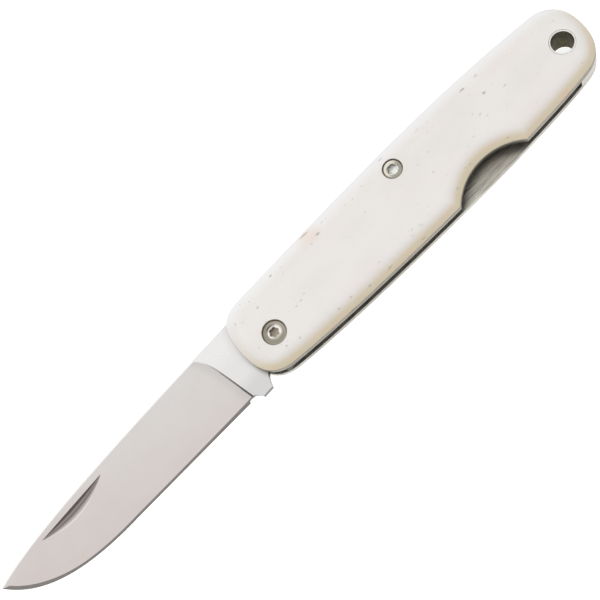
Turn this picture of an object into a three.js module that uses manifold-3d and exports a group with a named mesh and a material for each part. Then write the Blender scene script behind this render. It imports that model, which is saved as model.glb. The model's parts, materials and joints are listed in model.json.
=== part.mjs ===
// A folding pocket knife held together by screws: one blade on a pivot, a backspring along the
// spine, a steel liner and a bone scale on each side, and a lanyard tube through the butt.
// Lengths are in millimetres. The knife is drawn open, about its pivot axis: +X runs to the butt
// of the handle, +Y to the spine and +Z out of the front face, with Z = 0 in the blade's middle.
import * as THREE from 'three';
import { mergeVertices } from 'three/addons/utils/BufferGeometryUtils.js';
import Module from 'manifold-3d';

// Blade
const bladeReach = 75.35;        // pivot to tip
const tipHeight = 3.65;          // tip above the pivot
const bladeThickness = 2.0;
const spineHeight = 9.5;         // spine above the pivot, at its shoulder
const edgeDrop = 6.0;            // cutting edge below the pivot
const heelReach = 13.3;          // pivot to the heel of the cutting edge
const heelRise = 0.2;            // how much higher the edge is at its heel
const bellyReach = 45;           // pivot to where the edge starts to curve up to the tip
const plungeTop = 16.3;          // pivot to where the grind starts, at the spine
const plungeHeel = 11.75;        // the same at the heel
const plungeCurl = 1.9;          // how far the grind sweeps forward just under the spine
const grindSpine = 0.97;         // half thickness of the ground blade under its spine
const grindTip = 0.4;            // the same at the tip
const grindEdge = 0.22;          // half thickness above the sharpened bevel
const sharpHalf = 0.02;          // half thickness of the cutting edge itself
const bevelHeight = 0.5;         // height of the sharpened bevel
const heelBevel = 0.25;          // how much higher the bevel is at the heel
const bevelSettle = 18;          // length over which it comes down to its height
const coveWidth = 0.6;           // length over which the grind runs down from the flat tang
const spineEase = 0.45;          // width of the eased corner along the spine
const easeDepth = 0.12;
const nickReach = 53.75;         // pivot to the middle of the nail nick
const nickInset = 1.7;           // nick's upper edge below the spine
const nickLength = 18.1;
const nickDepth = 0.57;
const nickSlope = 11;            // degrees from the blade's face to the floor of the nick
const nickTilt = 3.8;            // degrees from X to the nick's upper edge

// Tang, which the backspring bears on
const tangReach = 6.33;          // pivot to each flat
const shoulderReach = 5.4;       // pivot to the shoulder that stops the open blade
const tangRound = 3.6;           // length of each rounded corner
const kickReach = 10.4;          // pivot to the front of the kick
const kickLength = 2.5;
const kickRound = 0.5;           // swell of the rounding in front of the kick
const reliefLength = 4.6;        // cut behind the kick, along the flat
const reliefDepth = 3.3;
const choilReach = 11.7;         // pivot to the end of the small cut in front of the kick
const choilDepth = 0.5;
const closeAngle = 177;          // degrees that the blade turns from open to closed

// Handle outline
const frontReach = 7.7;          // pivot to the front end
const frontMiddle = 1.5;         // height of the foremost point
const frontTop = 10.77;          // spine above the pivot, at the pivot
const frontDrop = 6.87;          // slot edge below the pivot, at the pivot
const crownReach = 40;           // pivot to the highest point of the spine
const crownHeight = 11.53;
const bellyX = 50;               // pivot to the lowest point of the slot edge
const bellyDrop = 8.6;
const buttBlock = 11.66;         // closed tip to the butt end
const buttRound = 6.06;          // length of the butt's rounding
const buttTop = 9.5;
const buttDrop = 7.16;
const buttMiddle = 2.4;          // height of the hindmost point

// Thicknesses and the room between the moving pieces
const washerThickness = 0.13;
const washerRadius = 4.5;
const linerThickness = 1.1;
const scaleThickness = 1.7;
const runningPlay = 0.01;        // each face that slides
const seatGap = 0.05;            // spring to tang, both at its flat and at the shoulder
const fitGap = 0.05;             // round piece to its hole, on the radius

// Bone scales
const landHeight = 0.3;          // upright edge below the bevel
const scaleBevel = 2.1;          // width of the bevel round the edge
const shoulderRound = 0.85;      // how far the bevel's shoulder is rounded on each side

// Easy-open notch in the front scale and liner
const notchReach = 52.8;         // pivot to its middle, which faces the closed blade's nail nick
const notchRadius = 13.3;
const notchDepth = 3.95;

// Backspring
const springNeck = 3.6;          // thickness of its thinnest part
const springFlat = 12.4;         // pivot to the end of the flat that the kick lands on
const bossWall = 0.75;           // spring left under the middle barrel
const slotMargin = 4.5;          // closed tip to the end of the spring's inner curve

// Fasteners and lanyard tube
const pivot = { x: 0, y: 0, head: 2.55, barrel: 2.0, shank: 1.2, dish: 1.4, socket: 0.9 };
const middle = { x: 39.6, y: 6.76, head: 2.09, barrel: 1.4, shank: 0.8, dish: 1.4, socket: 0.9 };
const headSink = 1.0;            // depth of the seat below the scale's face
const headDome = 0.3;            // rise of the head from its rim to its crown
const headRecess = 0.05;         // crown below the scale's face
const dishDepth = 0.18;
const socketDepth = 0.45;
const lobes = 6;
const lobeSwing = 0.14;          // how far the socket's wall swings in and out
const boreMargin = 0.2;          // end of the screw to the end of its bore
const engagement = 3.6;          // length of screw in its barrel
const tubeX = 5.9;               // lanyard tube before the butt end
const tubeY = 0.3;
const tubeRadius = 2.64;
const tubeBore = 2.34;
const tubeRim = 0.12;            // chamfer inside each end

// Fineness of the facets
const curveSteps = 12;
const roundSteps = 40;
const notchSteps = 192;          // round the whole circle, of which the notch takes a quarter
const bladeStations = 30;

const turn = THREE.MathUtils.degToRad;
const at = (x, y) => new THREE.Vector2(x, y);

const bladeHalf = bladeThickness / 2;
const wellHalf = bladeHalf + washerThickness + 2 * runningPlay;
const linerFace = wellHalf + linerThickness;
const scaleFace = linerFace + scaleThickness;
const seatFace = scaleFace - headSink;

// Where a point of the open blade lies once the blade is closed.
const closed = (x, y) => at(x, y).rotateAround(at(0, 0), turn(closeAngle));

const closedTip = closed(-bladeReach, tipHeight);
const buttReach = closedTip.x + buttBlock;
const tube = { x: buttReach - tubeX, y: tubeY };

const wasm = await Module();
wasm.setup();

function solidOf(geometry) {
  const bare = geometry.clone();
  bare.deleteAttribute('normal');
  bare.deleteAttribute('uv');
  const merged = mergeVertices(bare, 1e-5);
  return new wasm.Manifold(new wasm.Mesh({
    numProp: 3,
    vertProperties: new Float32Array(merged.attributes.position.array),
    triVerts: new Uint32Array(merged.index.array),
  }));
}

function geometryOf(solid) {
  const mesh = solid.getMesh();
  const geometry = new THREE.BufferGeometry();
  geometry.setAttribute('position', new THREE.BufferAttribute(mesh.vertProperties, 3));
  geometry.setIndex(new THREE.BufferAttribute(mesh.triVerts, 1));
  return geometry;
}

// A flat piece between two heights.
function plate(shape, low, high) {
  const settings = { depth: high - low, bevelEnabled: false, curveSegments: curveSteps };
  return solidOf(new THREE.ExtrudeGeometry(shape, settings).translate(0, 0, low));
}

function rod(place, radius, low, high) {
  return turned([[0, low], [radius, low], [radius, high], [0, high]], place);
}

// A turned piece: profile points are a radius and a height along Z.
function turned(profile, place, steps = roundSteps) {
  const points = profile.map(([radius, height]) => at(radius, height));
  const lathe = new THREE.LatheGeometry(points, steps);
  return solidOf(lathe.rotateX(Math.PI / 2).translate(place.x, place.y, 0));
}

// A closed skin through rings of equal length, with both ends filled in the plane of two axes.
function loft(rings, across, up) {
  const count = rings[0].length;
  const ends = rings[0].map((corner) => at(corner[across], corner[up]));
  const cap = THREE.ShapeUtils.triangulateShape(ends, []);
  const faces = cap.map(([a, b, c]) => [c, b, a]);
  rings.slice(1).forEach((ring, level) => {
    for (let i = 0; i < count; i += 1) {
      const a = level * count + i;
      const b = level * count + (i + 1) % count;
      faces.push([a, b, b + count], [a, b + count, a + count]);
    }
  });
  const last = rings[rings.length - 1].map((corner) => at(corner[across], corner[up]));
  const top = (rings.length - 1) * count;
  THREE.ShapeUtils.triangulateShape(last, []).forEach((face) => faces.push(face.map((i) => i + top)));
  const geometry = new THREE.BufferGeometry().setFromPoints(rings.flat());
  geometry.setIndex(faces.flat());
  return solidOf(geometry);
}

// Handle outline: stations with a heading in degrees and the pull of the curve on either side.
function handleOutline() {
  const buttStart = buttReach - buttRound;
  const stations = [
    { x: -frontReach, y: frontMiddle, heading: -90, before: 7.4, after: 5.1 },
    { x: -1, y: -frontDrop, heading: -6, before: 4.9, after: 13 },
    { x: bellyX, y: -bellyDrop, heading: 0, before: 15, after: 9 },
    { x: buttStart, y: -buttDrop, heading: 10, before: 5.5, after: 4.8 },
    { x: buttReach, y: buttMiddle, heading: 90, before: 4.2, after: 3.6 },
    { x: buttStart, y: buttTop, heading: 173.5, before: 4.1, after: 14.4 },
    { x: crownReach, y: crownHeight, heading: 180, before: 14, after: 13 },
    { x: 0, y: frontTop, heading: 181.5, before: 13, after: 5.6 },
  ];
  const outline = new THREE.Shape();
  outline.moveTo(stations[0].x, stations[0].y);
  stations.forEach((from, i) => {
    const to = stations[(i + 1) % stations.length];
    const leave = at(from.after, 0).rotateAround(at(0, 0), turn(from.heading)).add(from);
    const arrive = at(-to.before, 0).rotateAround(at(0, 0), turn(to.heading)).add(to);
    outline.bezierCurveTo(leave.x, leave.y, arrive.x, arrive.y, to.x, to.y);
  });
  const points = outline.getPoints(curveSteps);
  return points.slice(0, -1);
}

const notchCentre = at(notchReach, notchDepth - bellyDrop - notchRadius);

// An outline moved inwards, with mitred corners.
function inset(points, distance) {
  const normal = (from, to) => at(from.y - to.y, to.x - from.x).normalize();
  return points.map((point, i) => {
    const before = normal(points.at(i - 1), point);
    const after = normal(point, points[(i + 1) % points.length]);
    const reach = distance / (1 + before.dot(after));
    return before.add(after).multiplyScalar(reach).add(point);
  });
}

const outline = handleOutline();

const spineCurve = new THREE.CubicBezierCurve(
  at(-shoulderReach, spineHeight),
  at(-33, spineHeight - 1),
  at(10.9 - bladeReach, tipHeight + 3.6),
  at(-bladeReach, tipHeight),
);
const bellyCurve = new THREE.CubicBezierCurve(
  at(-bellyReach, -edgeDrop),
  at(-bellyReach - 16, -edgeDrop - 0.5),
  at(5.4 - bladeReach, tipHeight - 6.85),
  at(-bladeReach, tipHeight),
);

// Height of a curve that runs steadily towards -X.
function heightAt(curve, x) {
  let [low, high] = [0, 1];
  for (let i = 0; i < 40; i += 1) {
    const half = (low + high) / 2;
    [low, high] = curve.getPoint(half).x > x ? [half, high] : [low, half];
  }
  return curve.getPoint(low).y;
}

const spineAt = (x) => heightAt(spineCurve, x);

function edgeAt(x) {
  if (x < -bellyReach) return heightAt(bellyCurve, x);
  return -edgeDrop + heelRise * (x + bellyReach) / (bellyReach - heelReach);
}

// Height of the flat that bears on the spring when the blade is closed.
function closedFlat(x) {
  const facing = turn(90 - closeAngle);
  return (Math.cos(facing) * x - tangReach) / -Math.sin(facing);
}

function bladeProfile() {
  const kickBack = kickLength - kickReach;
  const reliefBack = kickBack + reliefLength;
  const corner = tangReach - tangRound;
  const choilTop = edgeAt(-heelReach) + choilDepth;

  const profile = new THREE.Shape();
  profile.moveTo(-shoulderReach, spineHeight);
  spineCurve.getPoints(curveSteps * 3).slice(1).forEach((p) => profile.lineTo(p.x, p.y));
  bellyCurve.getPoints(curveSteps * 3).reverse().slice(1).forEach((p) => profile.lineTo(p.x, p.y));
  profile.lineTo(-heelReach, edgeAt(-heelReach));
  profile.quadraticCurveTo(-heelReach, choilTop, choilDepth - heelReach, choilTop);
  profile.lineTo(-choilReach, choilTop);
  profile.quadraticCurveTo(-kickReach - kickRound, choilTop - kickRound, -kickReach, closedFlat(-kickReach));
  profile.lineTo(kickBack, closedFlat(kickBack));
  profile.bezierCurveTo(
    kickBack + reliefLength / 4,
    closedFlat(kickBack) + reliefDepth,
    kickBack + reliefLength / 2,
    closedFlat(kickBack) + reliefDepth * 4 / 3,
    reliefBack,
    closedFlat(reliefBack),
  );
  profile.lineTo(corner, closedFlat(corner));
  profile.quadraticCurveTo(tangReach, closedFlat(tangReach), tangReach, -corner);
  profile.lineTo(tangReach, corner);
  profile.quadraticCurveTo(tangReach, tangReach, corner, tangReach);
  profile.lineTo(-shoulderReach, tangReach);
  profile.holes.push(roundHole(pivot, pivot.barrel + fitGap));
  return profile;
}

function roundHole(place, radius) {
  return new THREE.Path().absarc(place.x, place.y, radius, 0, 2 * Math.PI, true);
}

// Half thickness of the ground blade just under its spine.
const grindAt = (along) => THREE.MathUtils.lerp(grindSpine, grindTip, along ** 3);

// What the grinding wheel takes off one side: each ring spans the blade from above its spine to
// below its edge, and the first ring, on the plunge line, only touches the flat of the tang.
function grindCutter() {
  const over = 2;
  const outer = bladeHalf + over;
  const coveShare = coveWidth / (bladeReach - plungeTop);
  const stations = [0, 0.12, 0.4, 1].map((cove) => [cove * coveShare, Math.sin(cove * Math.PI / 2)]);
  for (let i = 1; i <= bladeStations; i += 1) {
    stations.push([THREE.MathUtils.lerp(1, coveShare, (1 - i / bladeStations) ** 1.5), 1]);
  }
  const rings = stations.map(([along, depth]) => {
    const topX = THREE.MathUtils.lerp(-plungeTop, -bladeReach - 1, along);
    const heelX = THREE.MathUtils.lerp(-plungeHeel, -bladeReach - 1, along);
    const edge = edgeAt(heelX);
    const spine = Math.max(spineAt(topX), edge + sharpHalf);
    const room = spine - edge;
    const settled = along * (bladeReach - plungeTop) / bevelSettle;
    const sharpened = bevelHeight + heelBevel * Math.max(0, 1 - settled) ** 2;
    const bevel = Math.min(sharpened, room / 3) / room;
    const ease = Math.min(spineEase, room / 3) / room;
    const under = grindAt(along);
    const face = (share) => THREE.MathUtils.lerp(under, grindEdge, share);
    const rows = [
      [0, under - easeDepth],
      [ease, face(ease)],
      ...[0.1, 0.2, 0.35, 0.6].map((share) => [Math.max(share, ease + 0.01), face(share)]),
      [1 - bevel, grindEdge],
      [1, sharpHalf],
    ];
    const ring = rows.map(([share, half]) => {
      const curl = plungeCurl * (1 - (1 - share) ** 8 - share) * (1 - along);
      const x = THREE.MathUtils.lerp(topX, heelX, share) + curl;
      const z = THREE.MathUtils.lerp(bladeHalf + sharpHalf, half, depth);
      return new THREE.Vector3(x, spine - share * room, z);
    });
    const [top, bottom] = [ring.at(0), ring.at(-1)];
    return [
      new THREE.Vector3(top.x, spine + over, top.z),
      ...ring,
      new THREE.Vector3(bottom.x, edge - over, bottom.z),
      new THREE.Vector3(bottom.x, edge - over, outer),
      new THREE.Vector3(top.x, spine + over, outer),
    ];
  });
  return loft(rings, 'z', 'y');
}

// The nail nick is a shallow round-bottomed cut that starts steeply under a straight upper edge.
function nickCutter() {
  const rise = 1;
  const radius = (nickLength ** 2 / 4 + nickDepth ** 2) / (2 * nickDepth);
  const reach = Math.asin(nickLength / 2 / radius);
  const section = new THREE.Shape();
  section.moveTo(nickLength / 2, 0);
  section.lineTo(nickLength / 2, rise);
  section.lineTo(-nickLength / 2, rise);
  section.absarc(0, radius - nickDepth, radius, -Math.PI / 2 - reach, -Math.PI / 2 + reach, false);
  const length = 2 * nickDepth / Math.sin(turn(nickSlope));
  const cutter = new THREE.ExtrudeGeometry(section, { depth: length, bevelEnabled: false, curveSegments: curveSteps });

  const faceAt = (x) => grindAt((-x - plungeTop) / (bladeReach + 1 - plungeTop));
  const [back, front] = [faceAt(-nickReach + nickLength / 2), faceAt(-nickReach - nickLength / 2)];
  const spine = spineAt(-nickReach);
  const share = nickInset / (spine - edgeAt(-nickReach));
  cutter.rotateX(Math.PI / 2 - turn(nickSlope));
  cutter.rotateY(-Math.atan((back - front) / nickLength));
  cutter.rotateZ(turn(nickTilt));
  const face = THREE.MathUtils.lerp((back + front) / 2, grindEdge, share);
  cutter.translate(-nickReach, spine - nickInset, face);
  return solidOf(cutter);
}

function blade() {
  const grind = grindCutter();
  return plate(bladeProfile(), -bladeHalf, bladeHalf)
    .subtract(grind)
    .subtract(grind.mirror([0, 0, 1]))
    .subtract(nickCutter());
}

// The spring is the handle's outline less the well that the blade folds into.
function backspring() {
  const clear = 2 * crownHeight;
  const flat = tangReach + seatGap;
  const nose = seatGap - shoulderReach;
  const neck = frontTop - springNeck;
  const boss = middle.y - middle.barrel - fitGap - bossWall;
  const well = new THREE.Shape();
  well.moveTo(-clear, clear);
  well.lineTo(nose, clear);
  well.lineTo(nose, flat);
  well.lineTo(springFlat, flat);
  well.bezierCurveTo(springFlat + 2, flat, springFlat + 2, neck, springFlat + 5, neck);
  well.lineTo(middle.x - 10, neck);
  well.bezierCurveTo(middle.x - 5, neck, middle.x - 5, boss, middle.x, boss);
  well.bezierCurveTo(middle.x + 18, boss, closedTip.x + 1, -closedTip.y - 5, closedTip.x + slotMargin, -clear / 2);
  well.lineTo(-clear, -clear / 2);
  const body = new THREE.Shape(outline);
  body.holes.push(roundHole(middle, middle.barrel + fitGap));
  body.holes.push(roundHole(tube, tubeRadius + fitGap));
  return plate(body, -wellHalf, wellHalf).subtract(plate(well, -2 * wellHalf, 2 * wellHalf));
}

function liner() {
  const sheet = new THREE.Shape(outline);
  [pivot, middle].forEach((fastener) => sheet.holes.push(roundHole(fastener, fastener.barrel + fitGap)));
  sheet.holes.push(roundHole(tube, tubeRadius + fitGap));
  return plate(sheet, wellHalf, linerFace);
}

// Section through the edge of a scale, as a distance in from the edge and a height above the
// liner: an upright land, a long bevel with a rounded shoulder, and the flat face.
function edgeSection() {
  const slope = (scaleThickness - landHeight) / scaleBevel;
  const shoulder = new THREE.QuadraticBezierCurve(
    at(scaleBevel - shoulderRound, scaleThickness - slope * shoulderRound),
    at(scaleBevel, scaleThickness),
    at(scaleBevel + shoulderRound, scaleThickness),
  );
  return [at(0, 0), at(0, landHeight), ...shoulder.getPoints(4)];
}

// A bone scale has a stepped hole for each fastener.
function scale() {
  const rings = edgeSection().map(({ x: distance, y: height }) => (
    inset(outline, distance).map((p) => new THREE.Vector3(p.x, p.y, linerFace + height))
  ));
  let body = loft(rings, 'x', 'y');
  [pivot, middle].forEach((fastener) => {
    body = body.subtract(rod(fastener, fastener.barrel + fitGap, 0, 2 * scaleFace));
    body = body.subtract(rod(fastener, fastener.head + fitGap, seatFace, 2 * scaleFace));
  });
  return body.subtract(rod(tube, tubeRadius + fitGap, 0, 2 * scaleFace));
}

// The notch is cut upright through the liner, and the scale's bevel runs round it.
function notchCutter() {
  const flare = edgeSection().map(({ x: distance, y: height }) => [notchRadius + distance, linerFace + height]);
  const top = [flare.at(-1)[0], 2 * scaleFace];
  const profile = [[0, 0], [notchRadius, 0], ...flare, top, [0, 2 * scaleFace]];
  return turned(profile, notchCentre, notchSteps);
}

// Heights of a fastener's domed head from rim to crown, with a dish round its driving socket.
function headProfile(fastener) {
  const crown = scaleFace - headRecess;
  const rim = crown - headDome;
  return [
    [fastener.head, seatFace],
    [fastener.head, rim],
    [fastener.head - 0.12, rim + headDome * 0.35],
    [fastener.head - 0.5, rim + headDome * 0.8],
    [fastener.dish, crown],
    [fastener.socket + lobeSwing, crown - dishDepth],
    [0, crown - dishDepth],
  ];
}

// A socket with rounded lobes, cut down into the head.
function socket(fastener) {
  const wall = [];
  const steps = lobes * 8;
  for (let i = 0; i < steps; i += 1) {
    const angle = i / steps * 2 * Math.PI;
    const radius = fastener.socket + lobeSwing * Math.cos(lobes * angle);
    wall.push(at(fastener.x + radius * Math.cos(angle), fastener.y + radius * Math.sin(angle)));
  }
  const floor = scaleFace - headRecess - dishDepth - socketDepth;
  return plate(new THREE.Shape(wall), floor, 2 * scaleFace);
}

function screw(fastener) {
  const end = seatFace - engagement;
  const chamfer = 0.2;
  const profile = [[0, end], [fastener.shank - chamfer, end], [fastener.shank, end + chamfer],
    [fastener.shank, seatFace], ...headProfile(fastener)];
  return turned(profile, fastener).subtract(socket(fastener));
}

// A barrel is drawn with its head at the front, then mirrored, so that its bore opens forwards.
function barrel(fastener) {
  const end = -seatFace + boreMargin;
  const floor = -(seatFace - engagement - boreMargin);
  const bore = fastener.shank + fitGap;
  const profile = [[0, floor], [bore, floor], [bore, end], [fastener.barrel, end],
    [fastener.barrel, seatFace], ...headProfile(fastener)];
  return turned(profile, fastener).subtract(socket(fastener)).mirror([0, 0, 1]);
}

function lanyardTube() {
  const end = scaleFace - headRecess;
  const top = [[tubeRadius, end], [tubeBore + tubeRim, end], [tubeBore, end - tubeRim]];
  const bottom = top.map(([radius, height]) => [radius, -height]).reverse();
  return turned([...top, ...bottom, top[0]], tube);
}

function washer(side) {
  const ring = new THREE.Shape().absarc(pivot.x, pivot.y, washerRadius, 0, 2 * Math.PI, false);
  ring.holes.push(roundHole(pivot, pivot.barrel + fitGap));
  const low = bladeHalf + runningPlay;
  const high = low + washerThickness;
  return side > 0 ? plate(ring, low, high) : plate(ring, -high, -low);
}

const finish = (color, roughness, metalness) => new THREE.MeshStandardMaterial({ color, roughness, metalness });
const satinSteel = () => finish(0xcfcac5, 0.32, 1);
const linerSteel = () => finish(0xa8a49c, 0.4, 1);
const springSteel = () => finish(0xb9b5ae, 0.35, 1);
const fastenerSteel = () => finish(0x8f8c80, 0.35, 1);
const bone = () => finish(0xeae6e2, 0.45, 0);
const bronze = () => finish(0xb08a4e, 0.4, 1);

function piece(name, solid, material) {
  const mesh = new THREE.Mesh(geometryOf(solid), material);
  mesh.name = name;
  return mesh;
}

const handle = new THREE.Group().add(
  piece('front_scale', scale().subtract(notchCutter()), bone()),
  piece('rear_scale', scale().mirror([0, 0, 1]), bone()),
  piece('front_liner', liner().subtract(notchCutter()), linerSteel()),
  piece('rear_liner', liner().mirror([0, 0, 1]), linerSteel()),
  piece('backspring', backspring(), springSteel()),
  piece('pivot_barrel', barrel(pivot), fastenerSteel()),
  piece('pivot_screw', screw(pivot), fastenerSteel()),
  piece('middle_barrel', barrel(middle), fastenerSteel()),
  piece('middle_screw', screw(middle), fastenerSteel()),
  piece('lanyard_tube', lanyardTube(), fastenerSteel()),
  piece('front_washer', washer(1), bronze()),
  piece('rear_washer', washer(-1), bronze()),
);
const knife = new THREE.Group().add(handle, piece('blade', blade(), satinSteel()));

// The knife lies on its rear scale, with the origin under the middle of its bounding box.
const bounds = new THREE.Box3().setFromObject(knife);
const base = bounds.getCenter(new THREE.Vector3()).setZ(bounds.min.z);
knife.position.copy(base).negate();

export default knife;
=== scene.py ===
"""Dresses the solids of a folding pocket knife and sets them on a pale stage."""

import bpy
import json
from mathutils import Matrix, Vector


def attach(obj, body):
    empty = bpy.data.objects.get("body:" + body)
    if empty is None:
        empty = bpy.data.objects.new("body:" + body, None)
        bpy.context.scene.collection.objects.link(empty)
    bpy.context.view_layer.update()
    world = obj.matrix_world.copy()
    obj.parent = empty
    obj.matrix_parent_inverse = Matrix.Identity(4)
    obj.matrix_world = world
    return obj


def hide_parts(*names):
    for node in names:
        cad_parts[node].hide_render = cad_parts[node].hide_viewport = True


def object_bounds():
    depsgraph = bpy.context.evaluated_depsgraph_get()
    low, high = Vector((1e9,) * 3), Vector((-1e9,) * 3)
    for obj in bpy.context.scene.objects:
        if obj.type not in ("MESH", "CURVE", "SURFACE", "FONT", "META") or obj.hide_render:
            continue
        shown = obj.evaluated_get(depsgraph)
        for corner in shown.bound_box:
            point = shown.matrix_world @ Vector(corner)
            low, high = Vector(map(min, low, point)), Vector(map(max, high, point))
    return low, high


bl_info = {
    "name": "Folding pocket knife",
    "version": (1, 0, 0),
    "blender": (4, 5, 0),
    "location": "3D View > Sidebar > Knife",
    "description": "Builds a slip-joint pocket knife with bone scales on its packed solids",
    "category": "Object",
}

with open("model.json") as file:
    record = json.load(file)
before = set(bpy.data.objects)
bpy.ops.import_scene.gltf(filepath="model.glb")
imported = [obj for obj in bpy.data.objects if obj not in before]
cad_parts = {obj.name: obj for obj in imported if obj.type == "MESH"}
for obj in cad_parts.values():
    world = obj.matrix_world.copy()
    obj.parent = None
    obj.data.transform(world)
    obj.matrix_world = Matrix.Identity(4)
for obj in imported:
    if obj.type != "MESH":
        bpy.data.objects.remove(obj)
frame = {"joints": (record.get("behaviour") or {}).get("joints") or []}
cad_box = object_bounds()

import json
import math

import bmesh
import bpy
from bpy.props import FloatProperty, FloatVectorProperty, IntProperty, PointerProperty
from bpy.types import Operator, Panel, PropertyGroup
from mathutils import Matrix, Vector
from mathutils.geometry import tessellate_polygon

MM = 0.001
PIVOT = Vector(frame["joints"][0]["pos_m"])
CLOSED_TURN = math.radians(frame["joints"][0]["range_deg"][1])

# Middles of the two screws, and how far the lanyard tube's middle is in from the butt end and above
# the pivot.
PIVOT_CENTRE = Vector((0, 0))
MIDDLE_CENTRE = Vector((39.6 * MM, 6.76 * MM))
TUBE_INSET, TUBE_RISE = 5.9 * MM, 0.3 * MM

# Play in a hole, how deep a head's seat and its top lie under a scale's face, and the length of a
# screw under its head.
PLAY = 0.05 * MM
HEAD_DEPTH = 1.0 * MM
HEAD_SINK = 0.05 * MM
SCREW_LENGTH = 3.6 * MM

# Front end of the spring, where the tang's upper flat meets the spine, and the tang's bore radius.
SPRING_NOSE = -5.35 * MM
TANG_END = -5.4 * MM
TANG_BORE = 2.05 * MM

# Half thicknesses of the grind: under the spine at the plunge and at the tip, above the sharpened
# bevel, and at the very edge.
PLUNGE_HALF, TIP_HALF, THIN_HALF, SHARP_HALF = 0.97 * MM, 0.4 * MM, 0.22 * MM, 0.012 * MM
# The bevel widens along the belly by a share, between two reaches, and by a length at its heel.
BELLY_WIDER, WIDER_FROM, WIDER_TO, HEEL_WIDER = 0.7, 58 * MM, 71 * MM, 0.28 * MM
# Length over which the extra width at the heel runs out.
HEEL_RUN = 26 * MM

# Degrees from the blade's face to the nick's floor, and from the blade's length to the nick's.
NICK_SLOPE = 11
NICK_TILT = 3.8

# Points round a turned piece, round a hole in a plate, on a span of the handle and round the notch.
TURNED_POINTS, HOLE_POINTS, SPAN_POINTS, NOTCH_POINTS = 96, 72, 60, 80

# Degrees above which an edge is shaded sharp: on the blade, on rounded pieces and on plates.
BLADE_CREASE, ROUND_CREASE, PLATE_CREASE = 7, 24, 30

# Relief of fine lines and of pores, in metres.
FINE_RELIEF, DEEP_RELIEF = 0.00002, 0.00005

# Finishes of the blade, in the order of its material slots.
BLADE_FINISHES = 9
SATIN, FLAT, HONED, SPINE, NICK, UNDER, PLUNGE, HIDDEN_SHADE, BACK = range(BLADE_FINISHES)

# Bands of each screw's head, from its rim to its socket's floor, in painted light and shade: reach
# in mm, direction in degrees of the painted lit side, where the tone starts and ends changing, the
# painted lit tone on that side and the painted shaded one on the other, the roughness, and how deep
# the painted shadow arc is towards the spine.
HEAD_BANDS = {
    "pivot": (
        ("rim", 2.4, 250, -0.6, 0.8, (0.37, 0.35, 0.28), (0.245, 0.215, 0.17), 0.30, 0.0),
        ("dome", 2.0, 30, -0.1, 0.9, (0.42, 0.375, 0.325), (0.31, 0.29, 0.235), 0.30, 0.08),
        ("slope", 1.6, 20, -0.2, 0.8, (0.72, 0.66, 0.61), (0.36, 0.335, 0.28), 0.22, 0.8),
        ("ring", 1.2, 75, -1.0, -0.4, (0.93, 0.89, 0.83), (0.50, 0.48, 0.41), 0.22, 0.3),
        ("socket", 0.95, 285, -0.8, 0.9, (0.66, 0.62, 0.52), (0.20, 0.17, 0.14), 0.35, 0.3),
        ("floor", 0.6, 290, -0.8, 0.8, (0.36, 0.32, 0.245), (0.25, 0.22, 0.175), 0.40, 0.3),
    ),
    "middle": (
        ("rim", 2.0, 250, -0.4, 0.8, (0.34, 0.315, 0.265), (0.245, 0.21, 0.155), 0.30, 0.0),
        ("dome", 1.5, 120, -0.55, 0.55, (0.80, 0.75, 0.65), (0.37, 0.355, 0.30), 0.28, 0.0),
        ("slope", 1.2, 120, -0.5, 0.6, (0.86, 0.82, 0.73), (0.68, 0.66, 0.59), 0.25, 0.0),
        ("ring", 1.1, 270, -0.5, 0.5, (0.86, 0.84, 0.78), (0.52, 0.485, 0.43), 0.25, 0.0),
        ("socket", 1.0, 285, -0.3, 1.0, (0.88, 0.87, 0.83), (0.20, 0.185, 0.17), 0.30, 0.0),
        ("floor", 0.8, 275, -0.75, 0.5, (0.85, 0.85, 0.83), (0.36, 0.35, 0.335), 0.30, 0.0),
    ),
}

# Plain steels and the bronze: colour and a share of it, roughness, stretch of the fine lines, their
# bump, how far their tones part, and how strong the blotches are.
PLAIN_STEELS = {
    "spine_steel": ("spine", 1, 0.24, (0.4, 6, 6), 0.05, 0.03, 0.10),
    "blade_back_steel": ("back", 1, 0.28, (0.4, 6, 6), 0.08, 0.08, 0.2),
    "honed_steel": ("honed", 1, 0.32, (7, 0.6, 1), 0.10, 0.06, 0.10),
    # Painted shade: the wall of the well and the tang's edges inside the handle.
    "dark_well_steel": ("well", 1, 0.45, (0.4, 6, 6), 0.2, 0.2, 0.15),
    "spring_steel": ("spring", 1, 0.30, (0.3, 6, 6), 0.15, 0.06, 0.15),
    "brushed_liner_steel": ("liner", 1, 0.36, (0.3, 5, 5), 0.4, 0.26, 0.45),
    # Painted shade on the front liner: its notch's wall, and its side by the slot.
    "sawn_liner_edge": ("liner", 0.2, 0.45, (5, 5, 0.5), 0.2, 0.15, 0.2),
    "ground_liner_side": ("liner", 0.5, 0.4, (0.4, 4, 4), 0.1, 0.12, 0.3),
    "bright_dish_steel": ("dish", 1, 0.2, (4, 4, 4), 0.05, 0.05, 0.2),
    "washer_bronze": ("bronze", 1, 0.35, (2, 2, 2), 0.1, 0.1, 0.2),
}

# Painted shade and highlight across the nick from its straight edge to its far rim, and painted
# shade up the plunge line from its heel.
NICK_TONES = (
    (0, 1.0), (0.2, 0.86), (0.29, 1.08), (0.375, 0.64), (0.46, 0.56), (0.54, 0.8),
    (0.625, 1.13), (0.71, 1.42), (0.79, 1.65), (0.875, 2.15), (0.94, 2.6),
)
PLUNGE_TONES = ((0, 0.19), (0.33, 0.22), (0.49, 0.29), (0.67, 0.36), (0.82, 0.55), (1.0, 0.92))

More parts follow.
